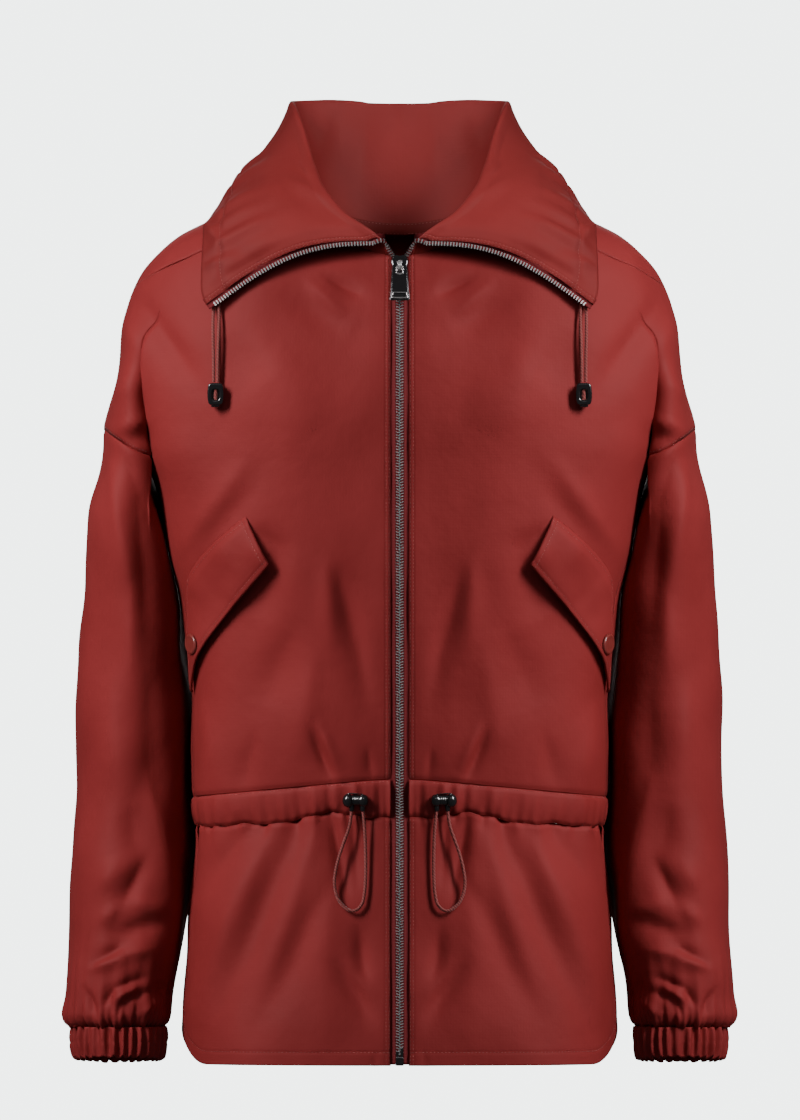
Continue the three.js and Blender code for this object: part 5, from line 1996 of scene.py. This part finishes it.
    def pull(self) -> None:
        """Make the pull tab: a tapered plate with the bail's slot and a bare window near its foot."""
        hinge = (0, -self.thickness - 0.5 - self.hinge_off, self.hinge_z - (self.top + self.bottom) / 2)
        at = self.on_slider() @ Matrix.Translation(hinge)
        edge = rounded([(-8.3, -31.5), (8.3, -31.5), (6, 1.3), (-6, 1.3)], 2.0)
        rim = rounded([(-7.3, -30.5), (7.3, -30.5), (5.3, 0.5), (-5.3, 0.5)], 1.8)
        slot = rounded(box_outline(4.0, -7.5, -0.9), 1.9)
        window = rounded(box_outline(11.0, -29.0, -25.3), 1.2)
        parts = [plate([edge, slot], 1.0, 0.35, at @ facing(0, 0.3, 0)),
                 plate([rim, slot, window], 1.1, 0.3, at @ facing(0, -0.4, 0))]
        keep(joined("pull_tab_plate", parts, BlackNickel()), "zip_hardware", "pull_tab", body="pull_tab")
        lip = [slot, rounded(box_outline(6.2, -8.8, 0.2), 2.6)]
        frame = [rounded([(-7.0, -30.2), (7.0, -30.2), (6.4, -24.4), (-6.4, -24.4)], 1.2), window]
        bright = [plate(loops, 0.9, 0.3, at @ facing(0, -0.95, 0)) for loops in (lip[::-1], frame)]
        keep(joined("pull_tab_rims", bright, RimNickel()), "zip_hardware", body="pull_tab")

    def box(self) -> None:
        """Make the box that closes the zip at the hem, with its pin."""
        y = self.line.depth(-687.7) + self.line.behind
        body = rounded(box_outline(6.8, -691.5, -684.0), 1.2)
        pin = rounded([(0.5, -690.6), (3.0, -690.6), (3.0, -676.5), (0.9, -676.5)], 0.8)
        stub = rounded([(-3.0, -690.6), (-0.5, -690.6), (-0.9, -679), (-3.0, -679)], 0.8)
        parts = [plate([outline], depth, bevel, facing(0, y, 0))
                 for outline, depth, bevel in ((body, 4.0, 0.7), (pin, 2.6, 0.5), (stub, 2.6, 0.5))]
        keep(joined("zip_box_body", parts, BlackNickel()), "zip_hardware", "zip_box")

    def make(self) -> None:
        """Make the whole zip."""
        self.tapes()
        self.chain()
        self.open_rows()
        self.slider()
        self.bail()
        self.pull()
        self.box()


@dataclass
class CordStops:
    """Glossy cord stops: a dog-bone at the waist and an oval with a window under the collar."""

    waist: tuple[float, float, float] = (36.5, -110.3, -473.0)
    collar: tuple[float, float, float] = (151.7, -109.5, -138.4)

    def waist_stop(self, side: str, sign: int) -> None:
        """Make one waist stop: a ribbed barrel between two balls, an eye above, two ferrules below.

        Args:
            side: the side's name, left or right as worn.
            sign: 1 for the left side, -1 for the right.
        """
        x, y, z = self.waist
        profile = [(0.4, -10.8), (2.6, -10.3), (4.6, -9.0), (5.7, -7.0), (5.9, -5.4), (5.2, -3.6),
                   (4.1, -3.0)]
        for k in range(4):
            start = -2.8 + k * 1.5
            profile += [(3.7, start), (4.1, start + 0.4), (4.1, start + 1.0), (3.7, start + 1.3)]
        profile += [(4.0, 3.5), (4.7, 4.6), (5.2, 6.2), (4.9, 8.2), (3.9, 9.8), (2.2, 10.6), (0.4, 10.8)]
        flat = Matrix.Translation((sign * x, y, z)) @ Matrix.Diagonal((1, 0.78, 1, 1))
        parts = [lathe(profile, flat @ Matrix.Rotation(-sign * math.pi / 2, 4, "Y"))]
        ring = rounded([(-7.2, 3.2), (6.2, 3.2), (7.4, 5.4), (-6, 6.6)], 2.2)
        hole = rounded([(-5.6, 4.0), (5.2, 4.0), (5.6, 4.9), (-4.8, 5.6)], 1.2)
        loops = [[(-sign * a, b) for a, b in loop] for loop in (ring, hole)]
        parts.append(plate(loops, 3.0, 0.4, facing(sign * x, y - 0.6, z)))
        ferrule = [(1.4, -1.6), (2.1, -1.0), (2.2, 3.2), (1.6, 4.6)]
        for end in (39.6, 30.6):
            parts.append(lathe(ferrule, Matrix.Translation((sign * end, y + 1.0, z - 7.4)), 20))
        keep(joined(f"waist_stop_{side}", parts, BlackPlastic(), 50), "cord_stop", f"waist_lock_{side}")

    def collar_stop(self, side: str, sign: int) -> None:
        """Make one collar stop: a rounded body with an oval window and a button below.

        Args:
            side: the side's name, left or right as worn.
            sign: 1 for the left side, -1 for the right.
        """
        x, y, z = self.collar
        body = rounded([(-6.0, -8.6), (6.0, -8.6), (7.0, 0), (6.0, 9.6), (-6.0, 9.6), (-7.0, 0)], 3.2)
        window = rounded(box_outline(6.0, -4.6, 4.4), 2.8)
        parts = [plate([body], 5.0, 1.6, facing(sign * x, y + 1.6, z)),
                 plate([body, window], 4.2, 1.1, facing(sign * x, y - 2.0, z)),
                 plate([rounded(box_outline(7.6, -10.4, -7.0), 1.4)], 6.0, 1.4, facing(sign * x, y, z))]
        keep(joined(f"collar_stop_{side}", parts, BlackPlastic(), 50), "cord_stop", f"collar_lock_{side}")
        spool = [(0.2, -4.4), (1.9, -4.2), (1.9, 4.2), (0.2, 4.4)]
        core = lathe(spool, Matrix.Translation((sign * x, y - 0.9, z)), 16)
        keep(joined(f"collar_stop_{side}_core", [core], Braid()), "drawcord")

    def make(self) -> None:
        """Make the four stops."""
        for side, sign in SIDES:
            self.waist_stop(side, sign)
            self.collar_stop(side, sign)


CORD_DIAMETER = 0.0025


def cords() -> None:
    """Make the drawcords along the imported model's routes, each with its free end at its stop."""
    for side, sign in SIDES:
        for name, route, loop in (("waist_cord_" + side, WAIST_CORD, True),
                                  (f"collar_cord_{side}_outer", COLLAR_CORD_OUTER, False),
                                  (f"collar_cord_{side}_inner", COLLAR_CORD_INNER, False)):
            curve = bpy.data.curves.new(name + "_braid", "CURVE")
            curve.dimensions = "3D"
            curve.bevel_depth = CORD_DIAMETER / 2
            curve.bevel_resolution = 4
            curve.use_fill_caps = True
            spline = curve.splines.new("BEZIER")
            spline.bezier_points.add(len(route) - 1)
            for knot, (x, y, z) in zip(spline.bezier_points, route):
                knot.co = (sign * x, y, z)
                knot.handle_left_type = knot.handle_right_type = "AUTO"
            piece = place_object(name + "_braid", curve, Braid())
            keep(piece, "drawcord", name)
            x, y, z = route[0]


@dataclass
class Studio:
    """The camera at the photograph's angle, a pale floor and surroundings, and soft light."""

    middle: float = -0.2747
    distance: float = 16.0
    view_height: float = 0.9296
    sensor_height: float = 36
    floor_height: float = -1.25
    floor_reach: float = 9.0
    fill: float = 0.09

    def camera(self) -> None:
        """Place the camera level with the middle of the garment, looking at its front."""
        data = bpy.data.cameras.new("camera")
        data.sensor_fit = "VERTICAL"
        data.sensor_height = self.sensor_height
        data.lens = self.sensor_height * self.distance / self.view_height
        camera = bpy.data.objects.new("camera", data)
        bpy.context.scene.collection.objects.link(camera)
        camera.location = (0.00025, -self.distance, self.middle)
        camera.rotation_euler = (math.pi / 2, 0, 0)
        bpy.context.scene.camera = camera

    def floor(self) -> None:
        """Make a plain pale floor, which shows bright without lighting the garment from below."""
        verts = [(x * self.floor_reach, y * self.floor_reach, self.floor_height)
                 for x, y in ((-1, -1), (1, -1), (1, 1), (-1, 1))]
        mesh = bpy.data.meshes.new("floor")
        mesh.from_pydata(verts, [], [(0, 1, 2, 3)])
        floor = place_object("floor", mesh, Backdrop())
        floor.visible_diffuse = False
        floor.visible_glossy = False

    def sky(self) -> None:
        """Make the pale surroundings: bright behind the garment, dim as light on it."""
        world = bpy.data.worlds.new("sky")
        world.use_nodes = True
        nodes = world.node_tree.nodes
        links = world.node_tree.links
        dial(nodes["Background"], Color=(0.93, 0.96, 0.97, 1), Strength=self.fill)
        seen = nodes.new("ShaderNodeBackground")
        dial(seen, Color=Backdrop.color, Strength=Backdrop.glow)
        rays = nodes.new("ShaderNodeLightPath")
        either = nodes.new("ShaderNodeMixShader")
        links.new(rays.outputs["Is Camera Ray"], either.inputs["Fac"])
        links.new(nodes["Background"].outputs["Background"], either.inputs[1])
        links.new(seen.outputs["Background"], either.inputs[2])
        links.new(either.outputs["Shader"], nodes["World Output"].inputs["Surface"])
        bpy.context.scene.world = world

    def light(self, name: str, place: tuple[float, float, float], aim_x: float,
              size: tuple[float, float], power: float, spread: float = 180) -> None:
        """Place one softbox that faces the garment.

        Args:
            name: the lamp's name.
            place: where it stands.
            aim_x: how far to the side of the garment's middle it aims.
            size: its width and height.
            power: its strength in watts.
            spread: the angle in degrees that its grid lets out.
        """
        data = bpy.data.lights.new(name, "AREA")
        data.shape = "RECTANGLE"
        data.size, data.size_y = size
        data.energy = power
        data.spread = math.radians(spread)
        lamp = bpy.data.objects.new(name, data)
        bpy.context.scene.collection.objects.link(lamp)
        lamp.location = place
        aim = Vector((aim_x, -0.08, self.middle)) - Vector(place)
        lamp.rotation_euler = aim.to_track_quat("-Z", "Y").to_euler()

    def make(self) -> None:
        """Make the floor, softboxes and sky."""
        self.floor()
        self.sky()
        self.light("left_softbox", (-1.3, -1.2, 0.72), -0.16, (0.42, 1.1), 6.2, 60)
        self.light("right_softbox", (1.3, -1.2, 0.72), 0.16, (0.42, 1.1), 6.2, 60)
        self.light("front_softbox", (0, -2.7, 1.35), 0, (1.0, 1.0), 5.4)
        self.light("back_softbox", (0, 2.7, 0.4), 0, (1.2, 1.2), 22)

    def share_light(self, pieces: Iterable[bpy.types.Object]) -> None:
        """Let each side's softbox light its own half of the garment, as flags in a studio do.

        Args:
            pieces: the garment's pieces; one that isn't named for a side is lit from both.
        """
        pieces = [piece for piece in pieces if piece.type in {"MESH", "CURVE"}]
        for lamp, other in (("left_softbox", "_left"), ("right_softbox", "_right")):
            lit = bpy.data.collections.new(f"lit by {lamp}")
            for piece in pieces:
                if other not in piece.name:
                    lit.objects.link(piece)
            bpy.data.objects[lamp].light_linking.receiver_collection = lit


def main() -> None:
    """Build the studio and the garment in order and report each piece."""
    logging.basicConfig(level=logging.INFO, format="%(name)s %(message)s")
    studio = Studio()
    sewing = Sewing()
    studio.camera()
    cords()
    studio.make()
    collar = Collar(sewing)
    for part in (UpperBody(sewing), Waist(sewing), Skirt(sewing), Sleeves(sewing), collar, Flaps(sewing),
                 Zip(ZipLine(), collar), CordStops()):
        part.make()
    sewing.make()
    studio.share_light(bpy.context.scene.objects)


if __name__ == "__main__":
    main()
